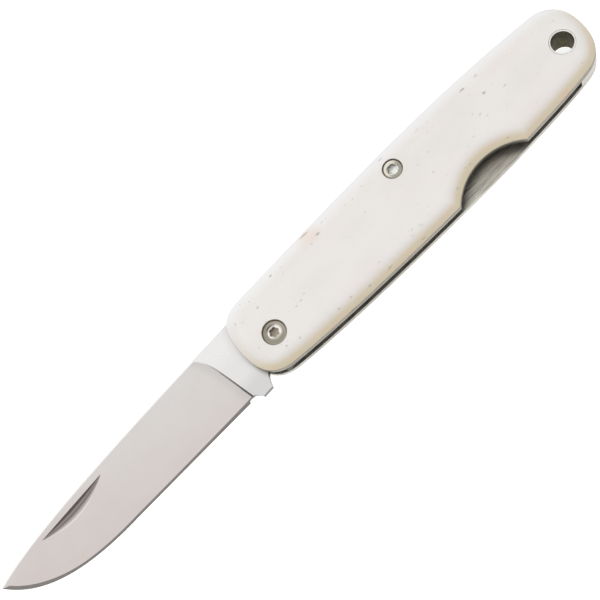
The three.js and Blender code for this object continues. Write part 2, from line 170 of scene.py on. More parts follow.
# Pores and stains in the front scale: x and y from the pivot, half length and half height in mm,
# and how deep the tone goes.
BONE_MARKS = (
    (7.4, 9.1, 0.41, 0.19, 0.80), (10.0, 8.8, 0.29, 0.19, 0.30), (17.8, 10.4, 1.32, 0.24, 0.85),
    (19.9, 8.2, 0.60, 0.26, 0.80), (17.6, 7.6, 0.47, 0.19, 0.35), (22.2, 9.4, 0.35, 0.19, 0.40),
    (27.8, 8.4, 0.35, 0.16, 0.30), (29.8, 8.2, 0.35, 0.16, 0.40), (32.9, 8.8, 0.29, 0.19, 0.30),
    (6.7, 0.5, 0.29, 0.19, 0.40), (8.1, 0.7, 0.35, 0.22, 0.45), (7.4, 1.9, 0.23, 0.16, 0.25),
    (12.3, -6.0, 0.41, 0.16, 0.50), (15.6, -6.0, 0.26, 0.16, 0.60), (19.8, -7.0, 0.47, 0.16, 0.70),
    (25.1, -7.3, 0.76, 0.12, 0.70), (33.7, -7.9, 0.82, 0.12, 0.70), (14.0, -7.9, 1.17, 0.16, 0.70),
    (17.2, -8.0, 0.64, 0.12, 0.50), (33.4, -5.2, 0.41, 0.16, 0.30), (35.4, -6.0, 0.35, 0.16, 0.30),
    (39.3, 10.2, 0.70, 0.12, 0.65), (44.6, 0.1, 0.38, 0.25, 0.35), (48.6, 8.9, 0.64, 0.16, 0.40),
    (49.7, 7.0, 0.35, 0.16, 0.25), (60.7, 8.2, 0.76, 0.22, 0.75), (64.6, 8.3, 0.53, 0.22, 0.50),
    (63.0, 4.4, 0.47, 0.25, 0.85), (65.4, 4.4, 0.26, 0.16, 0.30), (58.2, 2.8, 0.35, 0.19, 0.35),
    (59.2, 1.7, 0.41, 0.19, 0.40), (66.9, 2.4, 0.53, 0.22, 0.40), (45.5, -5.6, 0.35, 0.16, 0.45),
    (50.7, -3.9, 0.26, 0.16, 0.35), (59.6, -5.5, 0.41, 0.19, 0.45), (80.2, -5.6, 0.29, 0.19, 0.50),
    (0.7, 8.3, 0.21, 0.15, 0.50), (-1.1, 9.4, 0.19, 0.17, 0.50), (1.0, 6.1, 0.37, 0.20, 0.75),
    (-4.4, 7.0, 0.21, 0.20, 0.55), (-3.1, 6.1, 0.28, 0.17, 0.35), (-0.2, -3.9, 0.23, 0.22, 0.80),
    (-0.8, -3.1, 0.16, 0.12, 0.50), (2.9, -4.6, 0.21, 0.20, 0.50),
)
# The broad, faint stain by the upper edge, given in the same way but for its tone.
BONE_STAIN = (18.4, 9.2, 2.9, 2.0)


def length(name, description, millimetres):
    """A length that a user can change, given in millimetres and kept in metres."""
    return FloatProperty(
        name=name, description=description, default=millimetres * MM, unit="LENGTH", precision=5
    )


def share(name, description, value):
    return FloatProperty(
        name=name, description=description, default=value, min=0, max=1, subtype="FACTOR"
    )


def colour(name, description, value):
    return FloatVectorProperty(
        name=name, description=description, default=value, size=3, min=0, max=1, subtype="COLOR"
    )


class KnifeSizes(PropertyGroup):
    """Lengths of the knife. Heights and reaches are from the pivot."""

    blade_reach: length("Blade reach", "Pivot to the tip", 75.35)
    tip_height: length("Tip height", "Tip above the pivot", 3.65)
    blade_half: length("Blade half thickness", "Half of the stock that the blade is made from", 1.0)
    spine_height: length("Spine height", "Blade's spine at its shoulder", 9.5)
    edge_drop: length("Edge drop", "Cutting edge below the pivot", 6.0)
    heel_reach: length("Heel reach", "Pivot to the heel of the cutting edge", 13.3)
    heel_rise: length("Heel rise", "How much higher the edge is at its heel", 0.2)
    belly_reach: length("Belly reach", "Where the edge starts to curve up to the tip", 45)
    plunge_top: length("Plunge, top", "Where the grind starts at the spine", 16.3)
    plunge_heel: length("Plunge, heel", "Where the grind starts at the edge", 11.75)
    plunge_curl: length("Plunge curl", "How far the grind sweeps forward under the spine", 1.9)
    cove_width: length("Plunge width", "Length over which the grind runs down", 0.6)
    bevel_height: length("Edge bevel", "Height of the sharpened bevel", 0.5)
    spine_ease: length("Spine ease", "Width of the eased corner along the spine", 0.5)
    nick_reach: length("Nick reach", "Pivot to the middle of the nail nick", 53.75)
    nick_inset: length("Nick inset", "Nick's upper edge below the spine", 1.7)
    nick_length: length("Nick length", "Length of the nail nick", 18.1)
    nick_depth: length("Nick depth", "Depth of the nail nick", 0.57)
    tang_reach: length("Tang reach", "Pivot to each flat of the tang", 6.33)
    kick_reach: length("Kick reach", "Pivot to the front of the kick", 10.4)
    kick_length: length("Kick length", "Length of the kick's flat", 2.5)
    front_reach: length("Front reach", "Pivot to the handle's front end", 7.7)
    crown_height: length("Crown height", "Highest point of the handle's spine", 11.53)
    belly_drop: length("Belly drop", "Lowest point of the handle", 8.6)
    butt_block: length("Butt block", "Closed tip to the butt end", 11.66)
    liner: length("Liner", "Thickness of a liner", 1.1)
    well_half: length("Well half width", "Middle of the knife to a liner", 1.15)
    scale: length("Scale", "Thickness of a bone scale", 1.7)
    scale_bevel: length("Scale bevel", "Width of the bevel round a scale", 2.1)
    notch_reach: length("Notch reach", "Pivot to the middle of the easy-open notch", 52.8)
    notch_radius: length("Notch radius", "Radius of the easy-open notch", 13.3)
    notch_depth: length("Notch depth", "Depth of the notch in the handle's edge", 3.95)
    tube_radius: length("Tube radius", "Outside of the lanyard tube", 2.64)
    tube_bore: length("Tube bore", "Bore radius of the lanyard tube", 2.34)
    pivot_head: length("Pivot screw head", "Radius of the pivot screw's head", 2.55)
    middle_head: length("Middle screw head", "Radius of the middle screw's head", 2.09)
    outline_points: IntProperty(
        name="Outline points", description="Points round the handle", default=420, min=60, max=2000
    )


class KnifeColours(PropertyGroup):
    """Colours and sheens of the finishes."""

    bone: colour("Bone", "Body of the bone scales", (0.845, 0.818, 0.79))
    # Rim shade tan: painted warm shade on the bevels that face away from the light.
    rim_shade_tan: colour("Bone rim", "Tan cast of the scale's worn lower bevel", (0.735, 0.64, 0.465))
    bone_pore: colour("Bone pores", "Fine open pores in the bone", (0.34, 0.31, 0.255))
    satin: colour("Satin steel", "Ground faces of the blade", (0.665, 0.625, 0.60))
    ricasso: colour("Ricasso", "Flat sides of the tang before the handle", (0.80, 0.785, 0.775))
    spine: colour("Spine", "Polished corner along the blade's spine", (0.88, 0.87, 0.86))
    back: colour("Blade back", "Flat of the spine and back of the tang", (0.42, 0.41, 0.40))
    honed: colour("Honed steel", "Sharpened bevel", (0.24, 0.225, 0.215))
    # The nick groove colour is spread into painted shade and highlight across the nick.
    groove: colour("Nick groove", "Deep side of the nail nick", (0.335, 0.30, 0.29))
    liner: colour("Liner steel", "Brushed liners", (0.50, 0.485, 0.425))
    spring: colour("Spring steel", "Back of the spring, flush with the handle", (0.60, 0.58, 0.56))
    # Painted shade for the well's wall and for the tang's edges inside the handle.
    well: colour("Well", "Dark wall of the well that the blade folds into", (0.06, 0.052, 0.045))
    dish: colour("Dish", "Rounded lips of the lanyard tube", (0.90, 0.88, 0.83))
    # The bore colour is dark as painted shade inside the tube.
    bore: colour("Bore", "Inside of the lanyard tube", (0.125, 0.108, 0.042))
    bronze: colour("Bronze", "Washers", (0.55, 0.36, 0.16))
    floor: colour("Floor", "Pale floor under the knife", (0.82, 0.82, 0.82))
    satin_roughness: share("Satin roughness", "Roughness of the ground faces", 0.34)
    bone_roughness: share("Bone roughness", "Roughness of the polished bone", 0.42)


# Flat curves


def along(start, end, amount):
    """What lies between start and end, by the amount from one to the other."""
    return start + (end - start) * amount


def smooth(value, low, high):
    """A smooth rise from 0 at low to 1 at high."""
    t = min(1.0, max(0.0, (value - low) / (high - low)))
    return t * t * (3 - 2 * t)


def bezier(points, count):
    """Points on a cubic curve, both ends included."""
    a, b, c, d = (Vector(p) for p in points)
    found = []
    for i in range(count + 1):
        t = i / count
        u = 1 - t
        found.append(u**3 * a + 3 * u * u * t * b + 3 * u * t * t * c + t**3 * d)
    return found


def quadratic(points, count):
    """Points on a curve that turns one corner, both ends included."""
    a, b, c = (Vector(p) for p in points)
    return [
        (1 - t) ** 2 * a + 2 * (1 - t) * t * b + t * t * c
        for t in (i / count for i in range(count + 1))
    ]


def heading(degrees, pull=1.0):
    return Vector((math.cos(math.radians(degrees)), math.sin(math.radians(degrees)))) * pull


def resampled(points, count):
    """Points evenly spaced along an open line, both ends included."""
    reach = [0.0]
    for a, b in zip(points, points[1:]):
        reach.append(reach[-1] + (b - a).length)
    found, i = [], 0
    for k in range(count + 1):
        target = reach[-1] * k / count
        while i < len(points) - 2 and reach[i + 1] < target:
            i += 1
        span = reach[i + 1] - reach[i]
        found.append(points[i].lerp(points[i + 1], (target - reach[i]) / span if span else 0))
    return found


def inset(points, distance):
    """A closed line moved inwards, with mitred corners."""
    found = []
    for i, point in enumerate(points):
        before, after = points[i - 1], points[(i + 1) % len(points)]
        n1 = Vector((before.y - point.y, point.x - before.x)).normalized()
        n2 = Vector((point.y - after.y, after.x - point.x)).normalized()
        found.append(point + (n1 + n2) * (distance / (1 + n1.dot(n2))))
    return found


def on_circle(centre, radius, angle):
    return centre + Vector((math.cos(angle), math.sin(angle))) * radius


def circle(centre, radius, count):
    return [on_circle(centre, radius, 2 * math.pi * i / count) for i in range(count)]


def raised(points, z):
    return [Vector((p.x, p.y, z)) for p in points]


def height_of(outline, x, upper):
    """Height of a closed line at x, on its upper or its lower side."""
    found = []
    for i, p in enumerate(outline):
        q = outline[(i + 1) % len(outline)]
        if (p.x - x) * (q.x - x) <= 0 and p.x != q.x:
            found.append(along(p.y, q.y, (x - p.x) / (q.x - p.x)))
    return max(found) if upper else min(found)


def curve_height(points, x):
    """Height of a line of points that runs steadily towards -X."""
    for a, b in zip(points, points[1:]):
        if b.x <= x <= a.x:
            return along(a.y, b.y, (a.x - x) / (a.x - b.x)) if a.x > b.x else a.y
    return points[-1].y if x < points[-1].x else points[0].y


# Outline of the handle


def closed_tip(s):
    """Where the tip lies once the blade is closed."""
    return Vector((-s.blade_reach, s.tip_height)) @ Matrix.Rotation(-CLOSED_TURN, 2)


def butt_reach(s):
    return closed_tip(s).x + s.butt_block


def tube_centre(s):
    return Vector((butt_reach(s) - TUBE_INSET, TUBE_RISE))


def notch_centre(s):
    return Vector((s.notch_reach, s.notch_depth - s.belly_drop - s.notch_radius))


def handle_outline(s):
    """The handle seen from the front, anticlockwise from its foremost point."""
    butt = butt_reach(s) / MM
    # Each station in mm: place, heading in degrees, and the curve's pull before and after it.
    stations = [
        (-s.front_reach / MM, 1.5, -90, 7.4, 5.1),
        (-1, -6.87, -6, 4.9, 13),
        (50, -s.belly_drop / MM, 0, 15, 9),
        (butt - 6.06, -7.16, 10, 5.5, 4.8),
        (butt, 2.4, 90, 4.2, 3.6),
        (butt - 6.06, 9.5, 173.5, 4.1, 14.4),
        (40, s.crown_height / MM, 180, 14, 13),
        (0, 10.77, 181.5, 13, 5.6),
    ]
    points = []
    for i, (x, y, angle, _, pull) in enumerate(stations):
        x2, y2, angle2, push, _ = stations[(i + 1) % len(stations)]
        start, end = Vector((x, y)), Vector((x2, y2))
        leave, arrive = start + heading(angle, pull), end - heading(angle2, push)
        points += [p * MM for p in bezier((start, leave, arrive, end), SPAN_POINTS)[:-1]]
    points.append(points[0].copy())
    return resampled(points, s.outline_points)[:-1]


def handle_ring(s, outline, distance, notch):
    """The outline moved inwards, and notched on request. Rings of any distance match."""
    points = inset(outline, distance) if distance else outline
    if not notch:
        return points
    centre, radius = notch_centre(s), s.notch_radius + distance
    inside = [(p - centre).length < radius for p in points]
    count = len(points)
    entry = next(i for i in range(count) if not inside[i - 1] and inside[i])
    leave = next(i for i in range(count) if inside[i - 1] and not inside[i])

    def crossing(a, b):
        for _ in range(30):
            half = a.lerp(b, 0.5)
            a, b = (half, b) if (half - centre).length < radius else (a, half)
        return a

    start = crossing(points[leave - 1], points[leave])
    end = crossing(points[entry], points[entry - 1])
    kept = [points[(leave + i) % count] for i in range((entry - leave) % count)]
    line = resampled([start, *kept, end], count - NOTCH_POINTS)
    low, high = (math.atan2(p.y - centre.y, p.x - centre.x) for p in (end, start))
    turns = (along(low, high, i / NOTCH_POINTS) for i in range(1, NOTCH_POINTS))
    return line + [on_circle(centre, radius, a) for a in turns]


def front_arc(s):
    """Centre and radius of the circle through three points of the handle's front end."""
    outline = handle_outline(s)
    front = min(outline, key=lambda p: p.x)
    fore = [p for p in outline if p.x <= 0]
    above, below = (min(fore, key=lambda p: abs(p.y - y * MM)) for y in (7.0, -4.0))
    a, b, d = (p.to_3d() for p in (front, above, below))
    pa, pb = a.length_squared - d.length_squared, b.length_squared - d.length_squared
    p, q = a - d, b - d
    cross = 2 * (p.x * q.y - q.x * p.y)
    centre = Vector(((pa * q.y - pb * p.y) / cross, (pb * p.x - pa * q.x) / cross, 0))
    return centre, (centre - a).length


# Meshes


class Shell:
    """Collects rings of points and the faces between them into one closed mesh."""

    def __init__(self):
        self.points, self.faces, self.finishes = [], [], []

    def ring(self, points):
        self.points += points
        return list(range(len(self.points) - len(points), len(self.points)))

    def face(self, corners, finish=0):
        if len(set(corners)) > 2:
            self.faces.append(list(dict.fromkeys(corners)))
            self.finishes.append(finish)

    def strip(self, a, b, finish=0, closed=True):
        for i in range(len(a) if closed else len(a) - 1):
            j = (i + 1) % len(a)
            self.face([a[i], a[j], b[j], b[i]], finish)

    def tube(self, rings, finish=0):
        """Rings joined one after the other; finish may give one number for each band."""
        levels = [self.ring(r) for r in rings]
        for i in range(len(levels) - 1):
            tone = finish[i] if isinstance(finish, list) else finish
            self.strip(levels[i], levels[i + 1], tone)
        return levels[0], levels[-1]

    def cap(self, outer, holes=(), finish=0):
        """A flat face inside a ring, with round holes left open."""
        loops = [outer, *holes]
        order = [i for loop in loops for i in loop]
        for corners in tessellate_polygon([[self.points[i] for i in loop] for loop in loops]):
            self.face([order[i] for i in corners], finish)

    def close(self, bottom, top, low, high, holes):
        """Caps both ends of a plate, with round holes right through it."""
        bores = [
            self.tube([raised(circle(centre, radius, HOLE_POINTS), z) for z in (low, high)])
            for centre, radius in holes
        ]
        self.cap(bottom, [first for first, _ in bores])
        self.cap(top, [last for _, last in bores])

    def build(self, name, materials, mirrored, crease):
        mesh = bpy.data.meshes.new(name)
        mesh.from_pydata([placed(p, mirrored) for p in self.points], [], self.faces)
        for material in materials:
            mesh.materials.append(material)
        mesh.polygons.foreach_set("material_index", self.finishes)
        tidy(mesh, crease)
        piece = bpy.data.objects.new(name, mesh)
        bpy.context.scene.collection.objects.link(piece)
        return piece


def placed(p, mirrored):
    """A point in the frame, given from the pivot. Mirrored, it is on the knife's rear half."""
    return Vector((p.x, p.y, -p.z if mirrored else p.z)) + PIVOT


def tidy(mesh, crease):
    """Merges doubled points, turns the faces outwards and shades them smooth up to an angle."""
    work = bmesh.new()
    work.from_mesh(mesh)
    bmesh.ops.remove_doubles(work, verts=work.verts, dist=2e-7)
    bmesh.ops.dissolve_degenerate(work, edges=work.edges, dist=1e-8)
    bmesh.ops.recalc_face_normals(work, faces=work.faces)
    work.to_mesh(mesh)
    work.free()
    mesh.shade_smooth()
    mesh.set_sharp_from_angle(angle=math.radians(crease))


def cut(piece, cutters, crease):
    """Takes the cutters out of a piece and removes them. Cut faces keep the cutter's finish."""
    for cutter in cutters:
        step = piece.modifiers.new("cut", "BOOLEAN")
        step.operation = "DIFFERENCE"
        step.solver = "EXACT"
        step.material_mode = "INDEX"
        step.object = cutter
    graph = bpy.context.evaluated_depsgraph_get()
    mesh = bpy.data.meshes.new_from_object(piece.evaluated_get(graph))
    piece.modifiers.clear()
    piece.data = mesh
    for cutter in cutters:
        bpy.data.objects.remove(cutter)
    tidy(mesh, crease)


def keep_shares(piece, layer, shell, values, mirrored=False):
    """Keeps one number for each of the shell's points as a point attribute of the piece."""

    def key(place):
        return tuple(round(v, 7) for v in place)

    table = {key(placed(p, mirrored)): value for p, value in zip(shell.points, values)}
    made = piece.data.attributes.new(layer, "FLOAT", "POINT")
    made.data.foreach_set("value", [table.get(key(p.co), 0.0) for p in piece.data.vertices])


def seat(piece, body, slot, *nodes):
    """Ties a finished piece to its body and hides the solids that it stands for. Its slot is not
    used.
    """
    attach(piece, body)
    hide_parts(*nodes)


# Finishes


class Signal:
    """One number or colour in a finish. Arithmetic on it adds Math nodes."""

    def __init__(self, recipe, socket):
        self.recipe, self.socket = recipe, socket

    def __add__(self, other):
        return self.recipe.maths("ADD", self, other)

    def __sub__(self, other):
        return self.recipe.maths("SUBTRACT", self, other)

    def __rsub__(self, other):
        return self.recipe.maths("SUBTRACT", other, self)

    def __mul__(self, other):
        return self.recipe.maths("MULTIPLY", self, other)

    def __truediv__(self, other):
        return self.recipe.maths("DIVIDE", self, other)

    def __pow__(self, other):
        return self.recipe.maths("POWER", self, other)

    def __gt__(self, other):
        return self.recipe.maths("GREATER_THAN", self, other)

    def __abs__(self):
        return self.recipe.maths("ABSOLUTE", self)

    __radd__ = __add__
    __rmul__ = __mul__


def shaded(tone, *shares):
    """A colour with its channels multiplied by one share, or by one each."""
    return [v * k for v, k in zip(tone, shares if len(shares) == 3 else shares * 3)]


class Recipe:
    """The node graph of one finish."""

    def __init__(self, owner):
        owner.use_nodes = True
        self.tree = owner.node_tree
        self.tree.nodes.clear()

    def node(self, kind, settings=None, inputs=None, output=0):
        """Adds a node: first its settings, then the values or links of its sockets."""
        made = self.tree.nodes.new(kind)
        for key, value in (settings or {}).items():
            if key == "stops":
                ramp = made.color_ramp
                while len(ramp.elements) < len(value):
                    ramp.elements.new(0.5)
                for element, (place, tint) in zip(ramp.elements, value):
                    element.position = place
                    element.color = (*tint, 1)
            else:
                setattr(made, key, value)
        for key, value in (inputs or {}).items():
            socket = made.inputs[key]
            if isinstance(value, Signal):
                self.tree.links.new(value.socket, socket)
            elif socket.type == "RGBA" and len(value) == 3:
                socket.default_value = (*value, 1)
            else:
                socket.default_value = value
        return Signal(self, made.outputs[output]) if len(made.outputs) else made

    def maths(self, operation, *values):
        return self.node("ShaderNodeMath", {"operation": operation}, dict(enumerate(values)))

    def vector(self, operation, *values, output=0):
        return self.node(
            "ShaderNodeVectorMath", {"operation": operation}, dict(enumerate(values)), output
        )

    def place(self, stretch=(1, 1, 1)):
        """The point on the piece at rest, in millimetres, with each axis stretched."""
        spot = self.node("ShaderNodeTexCoord", output="Object")
        return self.vector("MULTIPLY", spot, [k / MM for k in stretch])

    def shifted(self, stretch, seed):
        """The stretched place moved by a seed, so that two patterns differ."""
        return self.vector("ADD", self.place(stretch), (seed, seed, seed))

    def above_pivot(self, axis):
        """How far the point is from the pivot along one axis, in millimetres."""
        whole = self.node("ShaderNodeSeparateXYZ", None, {"Vector": self.place()}, axis)
        return whole - getattr(PIVOT, axis.lower()) / MM

    def travel(self, start, way):
        """How far the point is from a start along a way, in millimetres."""
        return self.vector("DOT_PRODUCT", self.place(), way, output="Value") - start.dot(way) / MM

    def noise(self, stretch, detail=2.0, roughness=0.5, seed=0.0):
        spot = self.shifted(stretch, seed)
        values = {"Vector": spot, "Scale": 1.0, "Detail": detail, "Roughness": roughness}
        return self.node("ShaderNodeTexNoise", None, values)

    def step(self, value, low, high):
        """A smooth rise from 0 at low to 1 at high."""
        return self.node(
            "ShaderNodeMapRange",
            {"interpolation_type": "SMOOTHSTEP"},
            {"Value": value, "From Min": low, "From Max": high, "To Min": 0.0, "To Max": 1.0},
        )

    def attribute(self, name):
        return self.node("ShaderNodeAttribute", {"attribute_name": name}, output="Fac")

    def tint(self, amount, first, second):
        """Blends two colours by an amount."""
        values = {0: amount, 6: first, 7: second}
        return self.node("ShaderNodeMix", {"data_type": "RGBA"}, values, 2)

    def layered(self, shade, tone, *layers):
        """Tints a shade towards shares of a tone, one layer after the other, each by its amount."""
        for amount, *shares in layers:
            shade = self.tint(amount, shade, shaded(tone, *shares))
        return shade

    def ramp(self, amount, tone, shares):
        """A tone multiplied by a share that changes with the amount."""
        stops = [(place, shaded(tone, share)) for place, share in shares]
        return self.node("ShaderNodeValToRGB", {"stops": stops}, {"Fac": amount})

    def bump(self, height, strength, distance):
        values = {"Height": height, "Strength": strength, "Distance": distance}
        return self.node("ShaderNodeBump", None, values, "Normal")

    def seen(self):
        """1 for what the eye sees directly, in metal or through glass, and 0 for what lights."""
        camera, glossy, through = (
            self.node("ShaderNodeLightPath", output=f"Is {kind} Ray")
            for kind in ("Camera", "Glossy", "Transmission")
        )
        return self.maths("MAXIMUM", self.maths("MAXIMUM", camera, glossy), through)

    def surface(self, **inputs):
        """The finish's shader, with its sockets named in lower case."""
        named = {
            key.replace("_", " ").title().replace("Ior", "IOR"): value
            for key, value in inputs.items()
        }
        shader = self.node("ShaderNodeBsdfPrincipled", None, named)
        self.node("ShaderNodeOutputMaterial", None, {"Surface": shader})

    def steel(self, shade, roughness, fine, swing, strength):
        """A metal shader whose roughness and bump follow the fine lines."""
        self.surface(
            base_color=shade,
            metallic=1.0,
            roughness=roughness + swing * (fine - 0.5),
            normal=self.bump(fine, strength, FINE_RELIEF),
        )


def finish(name, write, *values):
    """The finish of that name. The first time, write fills its recipe from the values."""
    made = bpy.data.materials.get(name)
    if not made:
        made = bpy.data.materials.new(name)
        write(Recipe(made), *values)
    return made


def smooth_bone(r, c):
    """Smooth bone: faint mottling, pores and stains, painted warm shade at the lower rim and a
    painted highlight at the upper.
    """
    cloud = r.noise((0.10, 0.16, 0.16), 3.0, 0.55)
    blush = r.noise((0.055, 0.11, 0.11), 2.0, 0.5, 7.3)
    grain = r.noise((0.35, 3.2, 3.2), 2.0, 0.6, 3.1)
    shade = r.layered(
        c.bone, c.bone,
        (r.step(cloud, 0.35, 0.68), 0.965, 0.96, 0.955),
        (r.step(blush, 0.48, 0.70) * 0.7, 1.0, 0.965, 0.965),
        (r.step(grain, 0.56, 0.74) * 0.08, 0.86),
    )

    # Painted warm shade: tan on the bevels that face away from the light, most round the notch and
    # below.
    rim = r.attribute("rim")
    streak = r.noise((0.12, 0.5, 0.5), 3.0, 0.6, 11.0)
    blotch = r.noise((0.3, 0.6, 0.6), 2.0, 0.5, 15.0)
    tan = r.layered(c.rim_shade_tan, c.rim_shade_tan, (r.step(blotch, 0.5, 0.7), 1.07, 0.97, 0.98))
    shade = r.tint(r.step(rim * (0.80 + 0.5 * streak), 0.0, 1.05), shade, tan)

    swirl = r.noise((0.9, 1.6, 1.6), 2.0, 0.6, 1.7)
    sway = {0: (0.7, 0.5, 0), "Scale": swirl - 0.5}
    spot = r.vector("ADD", r.place(), r.node("ShaderNodeVectorMath", {"operation": "SCALE"}, sway))

    def mark_at(x, y, long, high):
        ratio = (1 / long, 1 / high, 0)
        middle = [-(PIVOT[k] / MM + (x, y, 0)[k]) * ratio[k] for k in range(3)]
        away = r.vector("LENGTH", r.vector("MULTIPLY_ADD", spot, ratio, middle), output="Value")
        return 1 - r.step(away, 0.25, 1.35)

    height = r.above_pivot("Z")
    front = height > 0.0
    # Painted shade on the land where each scale meets its liner, deeper on the front scale.
    land_shade = 1 - r.step(abs(height), 2.5, 2.68)
    shade = r.layered(
        shade, c.bone,
        # Painted highlight on the upper bevel, where the rim share is under 0.
        (r.step(rim * -1, 0.0, 1.0) * 0.8, 1.005, 1.035, 1.07),
        (mark_at(*BONE_STAIN) * front * (0.3 + 1.1 * swirl), 0.97, 0.89, 0.84),
        (land_shade * (0.36 + 0.28 * front), 0.2, 0.215, 0.19),
    )

    pores = 0.0
    for *spread, depth in BONE_MARKS:
        pores = r.maths("MAXIMUM", pores, depth * mark_at(*spread))
    pores = pores * front
    for stretch, size, seed in (((0.34, 0.75, 0.75), 0.17, 0.0), ((0.8, 1.7, 1.7), 0.2, 21.0)):
        cell = {"Vector": r.shifted(stretch, seed), "Scale": 1.0, "Randomness": 1.0}
        gap = r.node("ShaderNodeTexVoronoi", {"feature": "F1"}, cell)
        rare = r.step(r.noise([k * 0.45 for k in stretch], 1.0, 0.5, seed + 4.0), 0.52, 0.64)
        faint = (1 - r.step(gap + 0.12 * (swirl - 0.5), size * 0.3, size)) * rare * 0.32
        pores = r.maths("MAXIMUM", pores, faint)
    r.surface(
        base_color=r.tint(pores * (0.55 + 0.7 * swirl), shade, c.bone_pore),
        roughness=c.bone_roughness + 0.16 * (cloud - 0.5) + 0.25 * pores,
        normal=r.bump(grain * 0.25 - pores, 0.35, DEEP_RELIEF),
        ior=1.5,
        coat_weight=0.12,
        coat_roughness=0.25,
    )


def brushed_steel(r, tone, roughness, lines, strength, depth, blotch):
    """Brushed or ground steel. The fine lines run along the axis that lines stretches least."""
    fine = r.noise(lines, 3.0, 0.65)
    broad = r.noise([k * 0.22 for k in lines], 2.0, 0.5, 5.0)
    cloud = r.noise((0.09, 0.13, 0.13), 2.0, 0.5, 2.0)
    dark, light = shaded(tone, 1 - 2.2 * depth), [min(1.0, v) for v in shaded(tone, 1 + depth)]
    shade = r.tint(r.step(fine * 0.65 + broad * 0.35, 0.34, 0.66), dark, light)
    shade = r.layered(shade, tone, (r.step(cloud, 0.35, 0.7) * blotch, 0.92, 0.84, 0.82))
    r.steel(shade, roughness + 0.10 * (cloud - 0.5), fine, 0.20, strength)


def plain_steels(c, *names):
    """Brushed finishes from the table of plain steels."""
    made = []
    for name in names:
        tone, part, *numbers = PLAIN_STEELS[name]
        made.append(finish(name, brushed_steel, shaded(getattr(c, tone), part), *numbers))
    return made


def nick_steel(r, s, c):
    """The nick's floor in painted shade, with a paler painted streak by the straight edge and a
    painted highlight at its far rim.
    """
    top = BladeShape(s).spine_at(-s.nick_reach) - s.nick_inset
    foot = PIVOT + Vector((-s.nick_reach, top, 0))
    depth, span = (r.travel(foot, heading(NICK_TILT + turn).to_3d()) for turn in (-90, 0))
    reach = 2.4 * (1 - (span / (s.nick_length / 2 / MM)) ** 2.0) + 0.05
    fine = r.noise((1.2, 9, 9), 2.0, 0.6)
    # Painted shade and highlight across the nick.
    shade = r.ramp((depth + 0.15 * (fine - 0.5)) / reach, c.groove, NICK_TONES)
    r.steel(shade, 0.34, fine, 0.15, 0.1)


def satin_steel(r, c):
    """Ground faces: fine lines across, rosier towards edge and tip, with painted shade by the
    plunge line.
    """
    fine = r.noise((9, 0.35, 1), 3.0, 0.65)
    cloud = r.noise((0.09, 0.13, 0.13), 2.0, 0.5, 2.0)
    rise = r.travel(PIVOT, Vector((0.012, 0.05, 0)))
    warm, cool = shaded(c.satin, 0.985, 0.94, 0.938), shaded(c.satin, 1.06, 1.09, 1.10)
    shade = r.layered(
        r.tint(r.step(rise + 0.9 * (cloud - 0.5), -1.1, 0.3), warm, cool), c.satin,
        (r.step(fine, 0.36, 0.66) * 0.12, 0.86),
        # Painted shade on the grind beside the plunge line.
        (r.attribute("cove") * 0.2, 0.5),
    )
    r.steel(shade, c.satin_roughness, fine, 0.2, 0.06)


def ricasso_steel(r, s, c):
    """The flat of the tang, fine and bright, with painted shade where it meets the handle's front
    end.
    """
    fine = r.noise((5, 0.25, 1), 2.0, 0.5)
    cloud = r.noise((0.13, 0.13, 0.13), 2.0, 0.5, 2.0)
    height = r.above_pivot("Y")
    centre, radius = front_arc(s)
    spot = (PIVOT + centre) / MM
    flat = r.vector("MULTIPLY", r.place(), (1, 1, 0))
    away = r.vector("DISTANCE", flat, (spot.x, spot.y, 0), output="Value")
    beyond = away - radius / MM
    near = 1 - r.step(beyond + 0.5 * (cloud - 0.5), -0.1, 1.1)
    low = 1 - r.step(height, -3.0, 5.5)
    shade = r.layered(
        c.ricasso, c.ricasso,
        (r.step(fine, 0.3, 0.7) * 0.04, 0.86),
        (r.step(cloud, 0.35, 0.7) * 0.3, 0.97, 0.94, 0.93),
        (1 - r.step(height, -4.0, -0.5), 0.86, 0.86, 0.855),
        (r.step(height, 1.5, 7.0) * 0.8, 1.06, 1.07, 1.08),
        # Painted shade in front of the handle's front end: a soft band, then a narrow dark one,
        # strongest low down.
        ((1 - r.step(beyond, 0.0, 2.2)) * 0.4, 0.8),
        (near * (0.04 + 0.70 * low), 0.36, 0.34, 0.31),
    )
    r.steel(shade, 0.26, fine, 0.12, 0.006)


def under_steel(r, c):
    """Underside of kick and choil: polished towards the rear, painted dark as shade along its front
    edge.
    """
    fine = r.noise((0.6, 6, 6), 2.0, 0.6)
    # Painted shade on the front part of the underside.
    rear = r.step(r.above_pivot("Z") + 0.2 * (fine - 0.5), -0.65, -0.25)
    shade = r.layered((0.97, 0.965, 0.955), c.ricasso, (rear, 0.13))
    r.steel(shade, 0.2, fine, 0.15, 0.03)


def plunge_steel(r, c):
    """The steep strip of the plunge line in painted shade: pale as the grind at the spine, dark
    towards the heel.
    """
    fine = r.noise((3, 3, 3), 2.0, 0.5)
    height = r.above_pivot("Y")
    # Painted shade, deeper towards the heel.
    shade = r.ramp((height + 5.0 + 0.6 * (fine - 0.5)) / 12.2, c.ricasso, PLUNGE_TONES)
    r.steel(shade, 0.33, fine, 0.1, 0.05)


